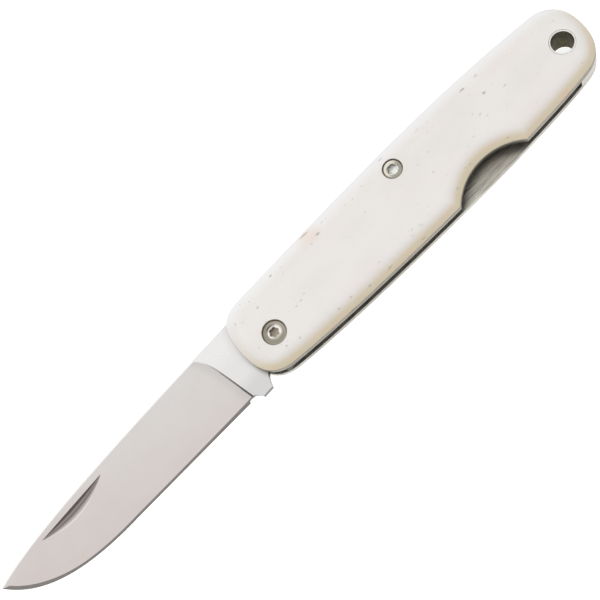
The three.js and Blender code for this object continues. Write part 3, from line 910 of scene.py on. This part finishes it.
def band_steel(r, centre, reach, towards, low, high, near, far, roughness, shadow_arc):
    """Turned steel of a round band, in painted light on one side and painted shade on the other,
    with a painted shadow arc by the spine.
    """
    middle = PIVOT + centre.to_3d()
    side, above = (r.travel(middle, heading(way).to_3d()) / reach for way in (towards, 90))
    fine = r.noise((3, 3, 3), 2.0, 0.5)
    # Painted light on the near side and painted shade on the far side.
    shade = r.tint(r.step(side + 0.3 * (fine - 0.5), low, high), far, near)
    if shadow_arc:
        shade = r.tint(r.step(above, 0.5, 1.0) * shadow_arc, shade, (0.01, 0.01, 0.01))
    r.steel(shade, roughness, fine, 0.12, 0.08)


def bore_steel(r, c):
    """Inside of the lanyard tube: dark as painted shade, streaked and brown."""
    fine = r.noise((1.6, 1.6, 0.5), 3.0, 0.6)
    r.surface(
        base_color=r.tint(r.step(fine, 0.38, 0.62), shaded(c.bore, 0.45), shaded(c.bore, 1.25)),
        metallic=0.7,
        specular_ior_level=0.1,
        roughness=0.5 + 0.2 * (fine - 0.5),
        normal=r.bump(fine, 0.3, DEEP_RELIEF),
    )


# Scales, liners and spring


def face_height(s):
    """Height of a scale's face above the middle of the knife."""
    return s.well_half + s.liner + s.scale


def fasteners(s):
    """Name, centre and radii of each: head, barrel, shank, dish, slope of the dish, socket."""
    for name, centre, head, radii in (
        ("pivot", PIVOT_CENTRE, s.pivot_head, (2.0, 1.2, 1.66, 0.27, 0.88)),
        ("middle", MIDDLE_CENTRE, s.middle_head, (1.4, 0.8, 1.28, 0.12, 0.88)),
    ):
        yield name, centre, head, *(r * MM for r in radii)


def through_holes(s):
    """Centre, radius in the liners and radius of the head of what goes through the knife."""
    for _, centre, head, barrel, *_ in fasteners(s):
        yield centre, barrel + PLAY, head + PLAY
    yield tube_centre(s), s.tube_radius + PLAY, s.tube_radius + PLAY


def scale_section(s):
    """Section of a scale's edge: distance in from the edge and height above the liner."""
    land, thick, bevel, soft = 0.3 * MM, s.scale, s.scale_bevel, 1.15 * MM
    slope = (thick - land) / bevel
    foot = quadratic(((0, land - 0.12 * MM), (0, land), (0.16 * MM, land + 0.16 * MM * slope)), 5)
    shoulder = quadratic(
        ((bevel - soft, thick - slope * soft), (bevel, thick), (bevel + soft, thick)), 14
    )
    return [Vector((0, 0)), *foot, *shoulder, Vector((bevel + soft + 0.05 * MM, thick))]


def rim_shade_and_highlight(s, flat, distance, notch):
    """How much painted warm shade, in tan, each point of a ring has below and round the notch, or
    how much painted highlight above, under 0.
    """
    centre, radius = notch_centre(s), s.notch_radius + distance
    pale = 1 - smooth(distance, 1.7 * MM, 2.4 * MM)
    deep = 1 - smooth(distance, 0.45 * MM, 1.75 * MM)
    upper = 1 - smooth(distance, 0.5 * s.scale_bevel, 1.5 * s.scale_bevel)
    found = []
    for i, p in enumerate(flat):
        run = (flat[(i + 1) % len(flat)] - flat[i - 1]).normalized()
        out = Vector((run.y, -run.x))
        rise = out.y - 0.3 * max(0.0, out.x) * smooth(out.y, -0.2, 0.2)
        facing = 1 - smooth(rise, -0.85, 0.65)
        if notch and (p - centre).length < radius + 0.02 * MM:
            facing = 1.0
        # Painted highlight on the upper bevel, which faces the light.
        bright = upper * smooth(rise, 0.15, 0.75)
        found.append((0.36 * pale + 0.64 * deep) * facing * (1.0 if notch else 0.25) - bright)
    return found


def hole_cutter(s, material, centre, bore, head, mirrored):
    """What is taken out of a scale for a stepped hole, with its mouth eased."""
    top, soft, over = face_height(s), 0.06 * MM, 1.0 * MM
    base, sink = top - s.scale - over, top - HEAD_DEPTH
    profile = [
        (0, base), (bore, base), (bore, sink), (head, sink), (head, top - soft),
        (head + 3 * soft, top + 2 * soft), (head + 3 * soft, top + over), (0, top + over),
    ]
    return turned(profile, centre)[0].build("hole_cutter", [material], mirrored, ROUND_CREASE)


def bone_scale(s, material, notch):
    """A scale from rings that follow its outline, with stepped holes and painted shade and
    highlight along its rim.
    """
    shell = Shell()
    outline = handle_outline(s)
    rings, rim = [], []
    for distance, height in scale_section(s):
        flat = handle_ring(s, outline, distance, notch)
        rings.append(raised(flat, s.well_half + s.liner + height))
        rim += rim_shade_and_highlight(s, flat, distance, notch)
    bottom, top = shell.tube(rings)
    shell.cap(top)
    shell.cap(bottom)
    name = "front_bone_scale" if notch else "rear_bone_scale"
    piece = shell.build(name, [material], not notch, ROUND_CREASE)
    keep_shares(piece, "rim", shell, rim, not notch)
    cutters = [hole_cutter(s, material, *hole, not notch) for hole in through_holes(s)]
    cut(piece, cutters, ROUND_CREASE)
    return piece


def liner_plate(s, materials, notch):
    """A liner with eased edges. On the front liner, the notch's wall and the side by the slot are
    painted dark as shade under the scale.
    """
    # Slot 1 paints shade on the notch's wall and slot 2 on the side by the slot.
    notch_shade, ground = 1, 2
    shell = Shell()
    outline = handle_outline(s)
    low, high, soft = s.well_half, s.well_half + s.liner, 0.05 * MM
    section = ((soft, low), (0, low + soft), (0, high - soft), (soft, high))
    bottom, top = shell.tube([raised(handle_ring(s, outline, d, notch), z) for d, z in section])
    shell.close(bottom, top, low, high, [hole[:2] for hole in through_holes(s)])
    name = "front_steel_liner" if notch else "rear_steel_liner"
    piece = shell.build(name, materials, not notch, PLATE_CREASE)
    for side in piece.data.polygons if notch else ():
        spot = side.center - PIVOT
        if abs(side.normal.z) < 0.8:
            if (spot.xy - notch_centre(s)).length < s.notch_radius + 0.06 * MM:
                side.material_index = notch_shade
            elif height_of(outline, spot.x, False) + 0.1 * MM > spot.y and side.normal.y < 0:
                side.material_index = ground
    return piece


def spring_outline(s):
    """The handle's spine and butt, and back along the well that the blade folds into."""
    outline = handle_outline(s)
    flat, neck, kick = s.tang_reach + PLAY, 7.17 * MM, 12.4 * MM
    middle, tip = MIDDLE_CENTRE, closed_tip(s)
    boss = middle.y - 1.4 * MM - 0.8 * MM
    rise = middle.x - 10 * MM
    end = (tip.x + 4.5 * MM, -s.crown_height)
    bends = (
        ((kick, flat), (kick + 2 * MM, flat), (kick + 2 * MM, neck), (kick + 5 * MM, neck)),
        ((rise, neck), (rise + 5 * MM, neck), (middle.x - 5 * MM, boss), (middle.x, boss)),
        ((middle.x, boss), (middle.x + 18 * MM, boss), (tip.x + 1 * MM, -tip.y - 5 * MM), end),
    )
    first, second, last = (bezier(bend, count) for bend, count in zip(bends, (16, 16, 60)))
    well = [Vector((SPRING_NOSE, flat)), *first, *second, *last[1:]]
    # Past the boss, the well's wall runs on until it leaves the handle through its slot.
    leave = next(
        i for i, p in enumerate(well) if i > 40 and p.y < height_of(outline, p.x, False)
    )
    mouth_x = well[leave - 1].x
    mouth = Vector((mouth_x, height_of(outline, mouth_x, False)))
    i = min(range(len(outline)), key=lambda k: (outline[k] - mouth).length)
    back = []
    while not (outline[i].x < SPRING_NOSE and outline[i].y > 0):
        back.append(outline[i])
        i = (i + 1) % len(outline)
    back.append(Vector((SPRING_NOSE, height_of(outline, SPRING_NOSE, True))))
    return back + well[:leave], len(back)


def spring_bar(s, materials):
    """The backspring, with its back bright and its wall in the well painted dark as shade."""
    shell = Shell()
    half = s.well_half
    flat, outer = spring_outline(s)
    bottom, top = (shell.ring(raised(flat, z)) for z in (-half, half))
    for i in range(len(flat)):
        j = (i + 1) % len(flat)
        shell.face([bottom[i], bottom[j], top[j], top[i]], 0 if i < outer else 1)
    shell.close(bottom, top, -half, half, [hole[:2] for hole in list(through_holes(s))[1:]])
    return shell.build("spring_bar", materials, False, ROUND_CREASE)


# Screws, barrels, tube and washers


def turned(profile, centre, finishes=0, lobes=None):
    """A turned piece. Lobes gives how far each ring of the profile swings in and out six times."""
    shell = Shell()
    rings = []
    for k, (radius, z) in enumerate(profile):
        swing = (lobes or {}).get(k, 0)
        ring = []
        for i in range(TURNED_POINTS):
            a = 2 * math.pi * i / TURNED_POINTS
            reach = radius + swing * math.cos(6 * a)
            ring.append(Vector((centre.x + reach * math.cos(a), centre.y + reach * math.sin(a), z)))
        rings.append(ring)
    first, last = shell.tube(rings, finishes)
    return shell, first, last


def head_rings(radius, dish, slope, socket, crown, seat_height):
    """Head of a screw from its seat to the floor of its socket, with the band of each ring."""
    rim_band, dome, slope_band, ring, wall, floor = range(6)
    rim = crown - 0.3 * MM
    profile = [(radius, seat_height), (radius, rim), (radius - 0.04 * MM, rim + 0.06 * MM)]
    for i in range(9):
        t = i / 8
        swell = (0.12 + 0.18 * math.sin(t * math.pi / 2)) * MM
        profile.append((along(radius - 0.16 * MM, dish + 0.04 * MM, t), rim + swell))
    bands = [rim_band, rim_band]
    bands += [rim_band if r > radius - 0.36 * MM else dome for r, _ in profile[3:]]
    low = crown - 0.17 * MM
    profile += [
        (dish, crown - 0.015 * MM), (dish - slope, low), (socket + 0.20 * MM, low - 0.01 * MM),
        (socket + 0.02 * MM, low - 0.01 * MM), (socket - 0.02 * MM, low - 0.05 * MM),
        (socket - 0.02 * MM, low - 0.34 * MM), (socket * 0.45, low - 0.38 * MM),
        (0, low - 0.44 * MM),
    ]
    bands += [dome, slope_band, ring, wall, wall, wall, floor, floor]
    last = len(profile) - 1
    swing = 0.14 * MM
    return profile, bands, {last - 5: swing * 0.5, **{last - k: swing for k in (4, 3, 2)}}


def headed_piece(s, name, steels, centre, stem, radius, dish, slope, socket, mirrored):
    """A screw or a barrel: its stem, and a dished head with a six-lobed socket."""
    top = face_height(s)
    head, bands, lobes = head_rings(
        radius, dish, slope, socket, top - HEAD_SINK, top - HEAD_DEPTH
    )
    lobes = {k + len(stem): swing for k, swing in lobes.items()}
    shell = turned(stem + head, centre, [0] * len(stem) + bands, lobes)[0]
    return shell.build(name, steels, mirrored, ROUND_CREASE)


def screw_stem(seat_height, shank):
    end, soft = seat_height - SCREW_LENGTH, 0.2 * MM
    return [(0, end), (shank - soft, end), (shank, end + soft), (shank, seat_height)]


def barrel_stem(seat_height, shank, barrel):
    """The barrel's bore, a gap deeper than the screw, then its open end and its outside."""
    gap, bore = 0.2 * MM, shank + PLAY
    floor, end = -(seat_height - SCREW_LENGTH - gap), gap - seat_height
    return [(0, floor), (bore, floor), (bore, end), (barrel, end), (barrel, seat_height)]


def tube_piece(s, materials):
    """The lanyard tube, with its ends flared into thin rounded lips."""
    end = face_height(s) - HEAD_SINK
    out, bore, lip = s.tube_radius, s.tube_bore, 0.09 * MM
    upper = [
        (out, end - 0.04 * MM), (out - 0.04 * MM, end), (bore + lip, end),
        (bore + 0.035 * MM, end - 0.035 * MM), (bore, end - lip),
    ]
    lower = [(r, -z) for r, z in reversed(upper)]
    outside, inside = [0] * 4, 1
    finishes = [*outside, inside, *outside]
    shell, first, last = turned(upper + lower, tube_centre(s), finishes)
    shell.strip(last, first)
    return shell.build("lanyard_tube_steel", materials, False, ROUND_CREASE)


def washer_piece(s, name, materials, mirrored):
    low, high = s.blade_half + 0.01 * MM, s.blade_half + 0.14 * MM
    bore, edge = 2.0 * MM + PLAY, 4.5 * MM
    profile = [(bore, low), (edge, low), (edge, high), (bore, high)]
    shell, first, last = turned(profile, PIVOT_CENTRE)
    shell.strip(last, first)
    return shell.build(name, materials, mirrored, ROUND_CREASE)


# Blade


def grind_half(place):
    """Half thickness just under the spine, from the plunge line at 0 to the tip at 1."""
    return along(PLUNGE_HALF, TIP_HALF, place**3)


class BladeShape:
    """Heights and half thicknesses of the ground blade."""

    def __init__(self, s):
        self.s = s
        top, bottom = s.spine_height, -s.edge_drop
        tip = Vector((-s.blade_reach, s.tip_height))
        self.spine = bezier((
            (TANG_END, top), (-33 * MM, top - 1.0 * MM),
            (tip.x + 10.9 * MM, tip.y + 3.6 * MM), tip,
        ), 400)
        self.belly = bezier((
            (-s.belly_reach, bottom), (-s.belly_reach - 16 * MM, bottom - 0.5 * MM),
            (tip.x + 5.4 * MM, tip.y - 6.85 * MM), tip,
        ), 400)

    def spine_at(self, x):
        return curve_height(self.spine, x)

    def edge_at(self, x):
        s = self.s
        if x < -s.belly_reach:
            return curve_height(self.belly, x)
        return -s.edge_drop + s.heel_rise * (x + s.belly_reach) / (s.belly_reach - s.heel_reach)

    def bevel_at(self, x):
        """Height of the sharpened bevel straight up from the edge. It widens along the belly."""
        step = 0.1 * MM
        far = max(x - step, -self.s.blade_reach)
        slope = (self.edge_at(far) - self.edge_at(x + step)) / (x + step - far)
        wider = 1 + BELLY_WIDER * smooth(-x, WIDER_FROM, WIDER_TO)
        return self.s.bevel_height * wider * math.hypot(1, slope)

    def grid(self):
        """Columns of points on the front ground face, from the plunge line to the tip."""
        s = self.s
        whole = s.blade_reach - s.plunge_top
        cove = s.cove_width / whole
        down_cove = (0, 0.03, 0.08, 0.15, 0.25, 0.37, 0.5, 0.65, 0.82, 1)
        stations = [(k * cove, math.sin(k * math.pi / 2)) for k in down_cove]
        stations += [(along(1, cove, (1 - i / 110) ** 1.5), 1.0) for i in range(1, 111)]
        columns = []
        for place, depth in stations:
            top_x = along(-s.plunge_top, -s.blade_reach, place)
            heel_x = along(-s.plunge_heel, -s.blade_reach, place)
            spine = self.spine_at(top_x)
            room = max(spine - self.edge_at(heel_x), 1e-6)
            taper = min(1.0, room / (2.2 * MM)) ** 0.6
            under, thin = grind_half(place) * taper, THIN_HALF * taper
            heel = HEEL_WIDER * max(0.0, 1 - place * whole / HEEL_RUN) ** 2
            bevel = min(self.bevel_at(heel_x) + heel, room / 2) / room
            ease = min(s.spine_ease, room / 3) / room

            # Rows down the column with their half thickness: eased corner, grind and bevel.
            rows = [
                (ease * k, along(under, thin, ease * k) - 0.13 * MM * taper * (1 - k) ** 1.8)
                for k in (0, 0.1, 0.22, 0.36, 0.52, 0.7, 1)
            ]
            grind = [along(ease, 1 - bevel, (i / 22) ** 1.15) for i in range(1, 22)]
            rows += [(at, along(under, thin, at)) for at in grind]
            rows += [
                (1 - bevel * (1 - k), along(thin, SHARP_HALF, k)) for k in (0, 0.04, 0.5, 1)
            ]
            column = []
            for down, half in rows:
                curl = s.plunge_curl * (1 - (1 - down) ** 8 - down) * (1 - place)
                x = along(top_x, heel_x, down) + curl
                column.append(Vector((x, spine - down * room, along(s.blade_half, half, depth))))
            columns.append(column)
        return columns

    def closed_flat(self, x):
        """Height of the flat that bears on the spring when the blade is closed."""
        facing = math.pi / 2 - CLOSED_TURN
        return (math.cos(facing) * x - self.s.tang_reach) / -math.sin(facing)

    def tang(self):
        """Outline of the tang from the kick round to the spine, before the choil is cut."""
        s, flat = self.s, self.closed_flat
        front = -s.kick_reach - 1.0 * MM
        back = s.kick_length - s.kick_reach
        low, end = flat(back), back + 4.6 * MM
        reach, corner = s.tang_reach, s.tang_reach - 3.6 * MM
        points = [Vector((front, flat(front))), Vector((back, low))]
        points += bezier((
            (back, low), (back + 1.15 * MM, low + 3.3 * MM), (back + 2.3 * MM, low + 4.4 * MM),
            (end, flat(end)),
        ), 24)[1:]
        points += quadratic(((corner, flat(corner)), (reach, flat(reach)), (reach, -corner)), 20)
        points += quadratic(((reach, corner), (reach, reach), (corner, reach)), 20)
        points.append(Vector((TANG_END, reach)))
        return points


def blade_piece(s, materials):
    """The blade: two ground faces joined at spine and edge, and the tang between its two flats."""
    shape = BladeShape(s)
    columns = shape.grid()
    shell = Shell()
    front = [shell.ring(column) for column in columns]
    rear = [shell.ring([Vector((p.x, p.y, -p.z)) for p in column]) for column in columns]
    rows = len(columns[0])
    for side in (front, rear):
        for i, (a, b) in enumerate(zip(side, side[1:])):
            for j in range(rows - 1):
                # The plunge's strip is a little broader towards the heel.
                face = PLUNGE if i < 4 + j // 8 else SATIN
                tone = HONED if j >= rows - 3 else (SPINE if j < 5 else face)
                shell.face([a[j], a[j + 1], b[j + 1], b[j]], tone)
    for row, tone in ((0, BACK), (rows - 1, HONED)):
        shell.strip([c[row] for c in front], [c[row] for c in rear], tone, closed=False)
    shell.strip(front[-1], rear[-1], HONED, closed=False)

    edge = shape.tang() + [p for p in shape.spine if p.x > -s.plunge_top]
    halves = (s.blade_half, -s.blade_half)
    near, far = (shell.ring(raised(edge, z)) for z in halves)
    bore = circle(PIVOT_CENTRE, TANG_BORE, HOLE_POINTS)
    near_hole, far_hole = shell.tube([raised(bore, z) for z in halves], BACK)
    shell.cap(front[0] + near, [near_hole], FLAT)
    shell.cap(rear[0] + far, [far_hole], FLAT)
    relief, low = (next(i for i, p in enumerate(edge) if p.x > x * MM) for x in (-6.2, 5))
    for a, b, tone in (
        (near[:relief + 1], far[:relief + 1], UNDER),
        # The tang's edge inside the handle is painted dark as shade.
        (near[relief:low + 1], far[relief:low + 1], HIDDEN_SHADE),
        (near[low:], far[low:], BACK),
        ([front[0][-1], near[0]], [rear[0][-1], far[0]], UNDER),
        ([near[-1], front[0][0]], [far[-1], rear[0][0]], BACK),
    ):
        shell.strip(a, b, tone, closed=False)
    blade = shell.build("ground_blade", materials, False, BLADE_CREASE)
    # Share of painted shade on the grind beside the plunge line, for each point.
    start = columns[0][3].x
    cove = [1 - smooth((start - column[3].x) / MM, 0.4, 2.6) for column in columns for _ in column]
    keep_shares(blade, "cove", shell, cove * 2)
    cut(blade, [choil_cutter(s, shape), nick_cutter(s, shape)], BLADE_CREASE)
    return blade


def cutter(name, rings, tone):
    """A closed block that leaves its finish on the blade where it cuts."""
    shell = Shell()
    for end in shell.tube(rings, tone):
        shell.cap(end, (), tone)
    return shell.build(name, [None] * BLADE_FINISHES, False, PLATE_CREASE)


def choil_cutter(s, shape):
    """What is cut away between the heel of the edge and the kick."""
    heel_x, kick_x = -s.heel_reach, -s.kick_reach
    heel = shape.edge_at(heel_x)
    top, below = heel + 0.5 * MM, heel - 3 * MM
    corner = Vector((kick_x, shape.closed_flat(kick_x)))
    points = [Vector((heel_x, below))]
    points += quadratic(((heel_x, heel), (heel_x, top), (heel_x + 0.4 * MM, top)), 12)
    points += quadratic(((-11.7 * MM, top), (kick_x - 0.5 * MM, top - 0.5 * MM), corner), 16)
    points.append(Vector((corner.x + 0.3 * MM, below)))
    return cutter("choil_cutter", [raised(points, z) for z in (-2 * MM, 2 * MM)], UNDER)


def nick_cutter(s, shape):
    """A round-bottomed cut that starts steeply under the nick's straight upper edge."""
    half, deep, over = s.nick_length / 2, s.nick_depth, 1.0 * MM
    radius = (half * half + deep * deep) / (2 * deep)
    reach = math.asin(half / radius)
    section = [Vector((half, over)), Vector((-half, over))]
    for i in range(61):
        a = -math.pi / 2 - reach + 2 * reach * i / 60
        section.append(Vector((radius * math.cos(a), radius - deep + radius * math.sin(a))))

    def place_of(x):
        return (x - s.plunge_top) / (s.blade_reach - s.plunge_top)

    slope = math.radians(NICK_SLOPE)
    spine, edge = shape.spine_at(-s.nick_reach), shape.edge_at(-s.nick_reach)
    down = s.nick_inset / (spine - edge)
    face = along(grind_half(place_of(s.nick_reach)), THIN_HALF, down)
    rear_half, tip_half = (grind_half(place_of(s.nick_reach + x)) for x in (-half, half))
    fall = (rear_half - tip_half) / s.nick_length
    turn = (
        Matrix.Translation(Vector((-s.nick_reach, spine - s.nick_inset, face)))
        @ Matrix.Rotation(math.radians(NICK_TILT), 4, "Z")
        @ Matrix.Rotation(-math.atan(fall), 4, "Y")
        @ Matrix.Rotation(math.pi / 2 - slope, 4, "X")
    )
    ends = (0, 2 * deep / math.sin(slope))
    return cutter("nick_cutter", [[turn @ p for p in raised(section, z)] for z in ends], NICK)


# Operators


def chosen(context):
    """The sizes and the colours that the user has set."""
    return context.scene.knife_sizes, context.scene.knife_colours


class KNIFE_OT_blade(Operator):
    """Build the ground blade with its tang, kick and nail nick"""

    bl_idname = "knife.blade"
    bl_label = "Blade"
    bl_options = {"REGISTER", "UNDO"}

    def execute(self, context):
        s, c = chosen(context)
        spine, honed, hidden_shade, back = plain_steels(
            c, "spine_steel", "honed_steel", "dark_well_steel", "blade_back_steel"
        )
        steels = [
            finish("satin_steel", satin_steel, c),
            finish("ricasso_steel", ricasso_steel, s, c),
            honed,
            spine,
            finish("nick_steel", nick_steel, s, c),
            finish("tang_edge_steel", under_steel, c),
            finish("plunge_steel", plunge_steel, c),
            hidden_shade,
            back,
        ]
        seat(blade_piece(s, steels), "blade", "blade_steel", "blade")
        return {"FINISHED"}


class KNIFE_OT_scales(Operator):
    """Build the two bone scales, the front one with the easy-open notch"""

    bl_idname = "knife.scales"
    bl_label = "Bone scales"
    bl_options = {"REGISTER", "UNDO"}

    def execute(self, context):
        s, c = chosen(context)
        bone = finish("smooth_bone", smooth_bone, c)
        for notch, node in ((True, "front_scale"), (False, "rear_scale")):
            seat(bone_scale(s, bone, notch), "handle", "bone", node)
        return {"FINISHED"}


class KNIFE_OT_liners(Operator):
    """Build the two steel liners"""

    bl_idname = "knife.liners"
    bl_label = "Liners"
    bl_options = {"REGISTER", "UNDO"}

    def execute(self, context):
        s, c = chosen(context)
        steels = plain_steels(c, "brushed_liner_steel", "sawn_liner_edge", "ground_liner_side")
        for notch, node in ((True, "front_liner"), (False, "rear_liner")):
            seat(liner_plate(s, steels, notch), "handle", "liner_steel", node)
        return {"FINISHED"}


class KNIFE_OT_backspring(Operator):
    """Build the backspring between the liners"""

    bl_idname = "knife.backspring"
    bl_label = "Backspring"
    bl_options = {"REGISTER", "UNDO"}

    def execute(self, context):
        s, c = chosen(context)
        steels = plain_steels(c, "spring_steel", "dark_well_steel")
        seat(spring_bar(s, steels), "handle", "spring_steel", "backspring")
        return {"FINISHED"}


class KNIFE_OT_fasteners(Operator):
    """Build the two screws and the barrels that they go into"""

    bl_idname = "knife.fasteners"
    bl_label = "Screws and barrels"
    bl_options = {"REGISTER", "UNDO"}

    def execute(self, context):
        s = context.scene.knife_sizes
        seat_height = face_height(s) - HEAD_DEPTH
        for name, centre, radius, barrel, shank, *cuts in fasteners(s):
            steels = [
                finish(f"{name}_{band}_steel", band_steel, centre, *numbers)
                for band, *numbers in HEAD_BANDS[name]
            ]
            for node, stem, mirrored in (
                (f"{name}_screw", screw_stem(seat_height, shank), False),
                (f"{name}_barrel", barrel_stem(seat_height, shank, barrel), True),
            ):
                piece = headed_piece(
                    s, f"{node}_steel", steels, centre, stem, radius, *cuts, mirrored
                )
                seat(piece, "handle", "fastener_steel", node)
        return {"FINISHED"}


class KNIFE_OT_lanyard_tube(Operator):
    """Build the lanyard tube through the butt"""

    bl_idname = "knife.lanyard_tube"
    bl_label = "Lanyard tube"
    bl_options = {"REGISTER", "UNDO"}

    def execute(self, context):
        s, c = chosen(context)
        steels = [*plain_steels(c, "bright_dish_steel"), finish("dark_bore_steel", bore_steel, c)]
        seat(tube_piece(s, steels), "handle", "fastener_steel", "lanyard_tube")
        return {"FINISHED"}


class KNIFE_OT_washers(Operator):
    """Build the bronze washers on both sides of the tang"""

    bl_idname = "knife.washers"
    bl_label = "Washers"
    bl_options = {"REGISTER", "UNDO"}

    def execute(self, context):
        s, c = chosen(context)
        bronze = plain_steels(c, "washer_bronze")
        for node, mirrored in (("front_washer", False), ("rear_washer", True)):
            piece = washer_piece(s, f"{node}_bronze", bronze, mirrored)
            seat(piece, "handle", "washer_bronze", node)
        return {"FINISHED"}


class KNIFE_OT_stage(Operator):
    """Set the floor, the lamps, the surroundings and the camera"""

    bl_idname = "knife.stage"
    bl_label = "Stage"
    bl_options = {"REGISTER", "UNDO"}

    def execute(self, context):
        floor_piece(context.scene.knife_colours)
        surroundings()
        lamp("key", 0.55, 5.0, Vector((-0.15, 0.45, 0.9)), 0.95)
        lamp("fill", 0.8, 1.6, Vector((0.5, -0.55, 0.8)), 1.1)
        camera()
        return {"FINISHED"}


# Stage


def linked(name, data):
    """A new object in the scene for a mesh, a lamp or a camera."""
    piece = bpy.data.objects.new(name, data)
    bpy.context.scene.collection.objects.link(piece)
    return piece


def floor_piece(c):
    """The pale floor, a hair under the knife, which glows to the eye so that it shows white."""
    half, gap = 1.5, 0.02 * MM
    corners = [(-half, -half, 0), (half, -half, 0), (half, half, 0), (-half, half, 0)]
    mesh = bpy.data.meshes.new("floor")
    mesh.from_pydata(corners, [], [(0, 1, 2, 3)])
    floor = linked("floor", mesh)
    floor.location.z = cad_box[0].z - gap
    mesh.materials.append(finish("pale_floor", pale_floor, c))


def pale_floor(r, c):
    """Matt paint for the light, with a glow added for the eye."""
    cloud = r.noise((0.01, 0.01, 0.01), 2.0)
    tone = r.layered(c.floor, c.floor, (cloud * 0.06, 0.97))
    paint = r.node("ShaderNodeBsdfDiffuse", None, {"Color": tone})
    glow = r.node("ShaderNodeEmission", None, {"Color": (1, 1, 1), "Strength": 0.85})
    lit = r.node("ShaderNodeAddShader", None, {0: paint, 1: glow})
    mixed = r.node("ShaderNodeMixShader", None, {0: r.seen(), 1: paint, 2: lit})
    r.node("ShaderNodeOutputMaterial", None, {"Surface": mixed})


def surroundings():
    """A white room to the eye and in the metal, and a softer fill on the object."""
    world = bpy.data.worlds.new("studio")
    bpy.context.scene.world = world
    r = Recipe(world)
    room = {"Color": (1, 1, 1), "Strength": 0.42 + 0.58 * r.seen()}
    back = r.node("ShaderNodeBackground", None, room)
    r.node("ShaderNodeOutputWorld", None, {"Surface": back})


def lamp(name, size, power, direction, distance):
    """A round lamp that shines on the knife from a direction and isn't mirrored in it."""
    data = bpy.data.lights.new(name, "AREA")
    data.shape = "DISK"
    data.size = size
    data.energy = power
    piece = linked(name, data)
    piece.location = direction.normalized() * distance
    piece.rotation_mode = "QUATERNION"
    piece.rotation_quaternion = direction.to_track_quat("Z", "Y")
    piece.visible_glossy = False


def camera():
    """The photograph's view: from the front, leaning towards the slot side, turned 45 degrees."""
    lean, distance = math.radians(19.5), 0.275
    aim = PIVOT + Vector((8.1, 2.32, 0)) * MM
    back = Vector((0, -math.sin(lean), math.cos(lean)))
    rise = Vector((0, math.cos(lean), math.sin(lean)))
    across = Vector((1, 0, 0))
    right, up = (across - rise).normalized(), (across + rise).normalized()
    data = bpy.data.cameras.new("camera")
    data.sensor_width = 36
    data.lens = 82.17
    piece = linked("camera", data)
    turn = Matrix((right, up, back)).transposed().to_4x4()
    piece.matrix_world = Matrix.Translation(aim + back * distance) @ turn
    bpy.context.scene.camera = piece
    bpy.context.scene.view_settings.view_transform = "Standard"


class KNIFE_PT_panel(Panel):
    """Sizes, colours and building steps of the knife"""

    bl_idname = "KNIFE_PT_panel"
    bl_label = "Pocket knife"
    bl_space_type = "VIEW_3D"
    bl_region_type = "UI"
    bl_category = "Knife"

    def draw(self, context):
        for step in STEPS:
            self.layout.operator(step.bl_idname)
        for group in chosen(context):
            box = self.layout.box()
            for name in group.bl_rna.properties.keys():
                if name not in ("rna_type", "name"):
                    box.prop(group, name)


STEPS = (
    KNIFE_OT_stage,
    KNIFE_OT_blade,
    KNIFE_OT_scales,
    KNIFE_OT_liners,
    KNIFE_OT_backspring,
    KNIFE_OT_fasteners,
    KNIFE_OT_lanyard_tube,
    KNIFE_OT_washers,
)
CLASSES = (KnifeSizes, KnifeColours, *STEPS, KNIFE_PT_panel)


def register():
    for made in CLASSES:
        bpy.utils.register_class(made)
    bpy.types.Scene.knife_sizes = PointerProperty(type=KnifeSizes)
    bpy.types.Scene.knife_colours = PointerProperty(type=KnifeColours)


def unregister():
    del bpy.types.Scene.knife_colours
    del bpy.types.Scene.knife_sizes
    for made in reversed(CLASSES):
        bpy.utils.unregister_class(made)


def main():
    register()
    bpy.ops.knife.stage()
    bpy.ops.knife.blade()
    bpy.ops.knife.scales()
    bpy.ops.knife.liners()
    bpy.ops.knife.backspring()
    bpy.ops.knife.fasteners()
    bpy.ops.knife.lanyard_tube()
    bpy.ops.knife.washers()


if __name__ == "__main__":
    main()
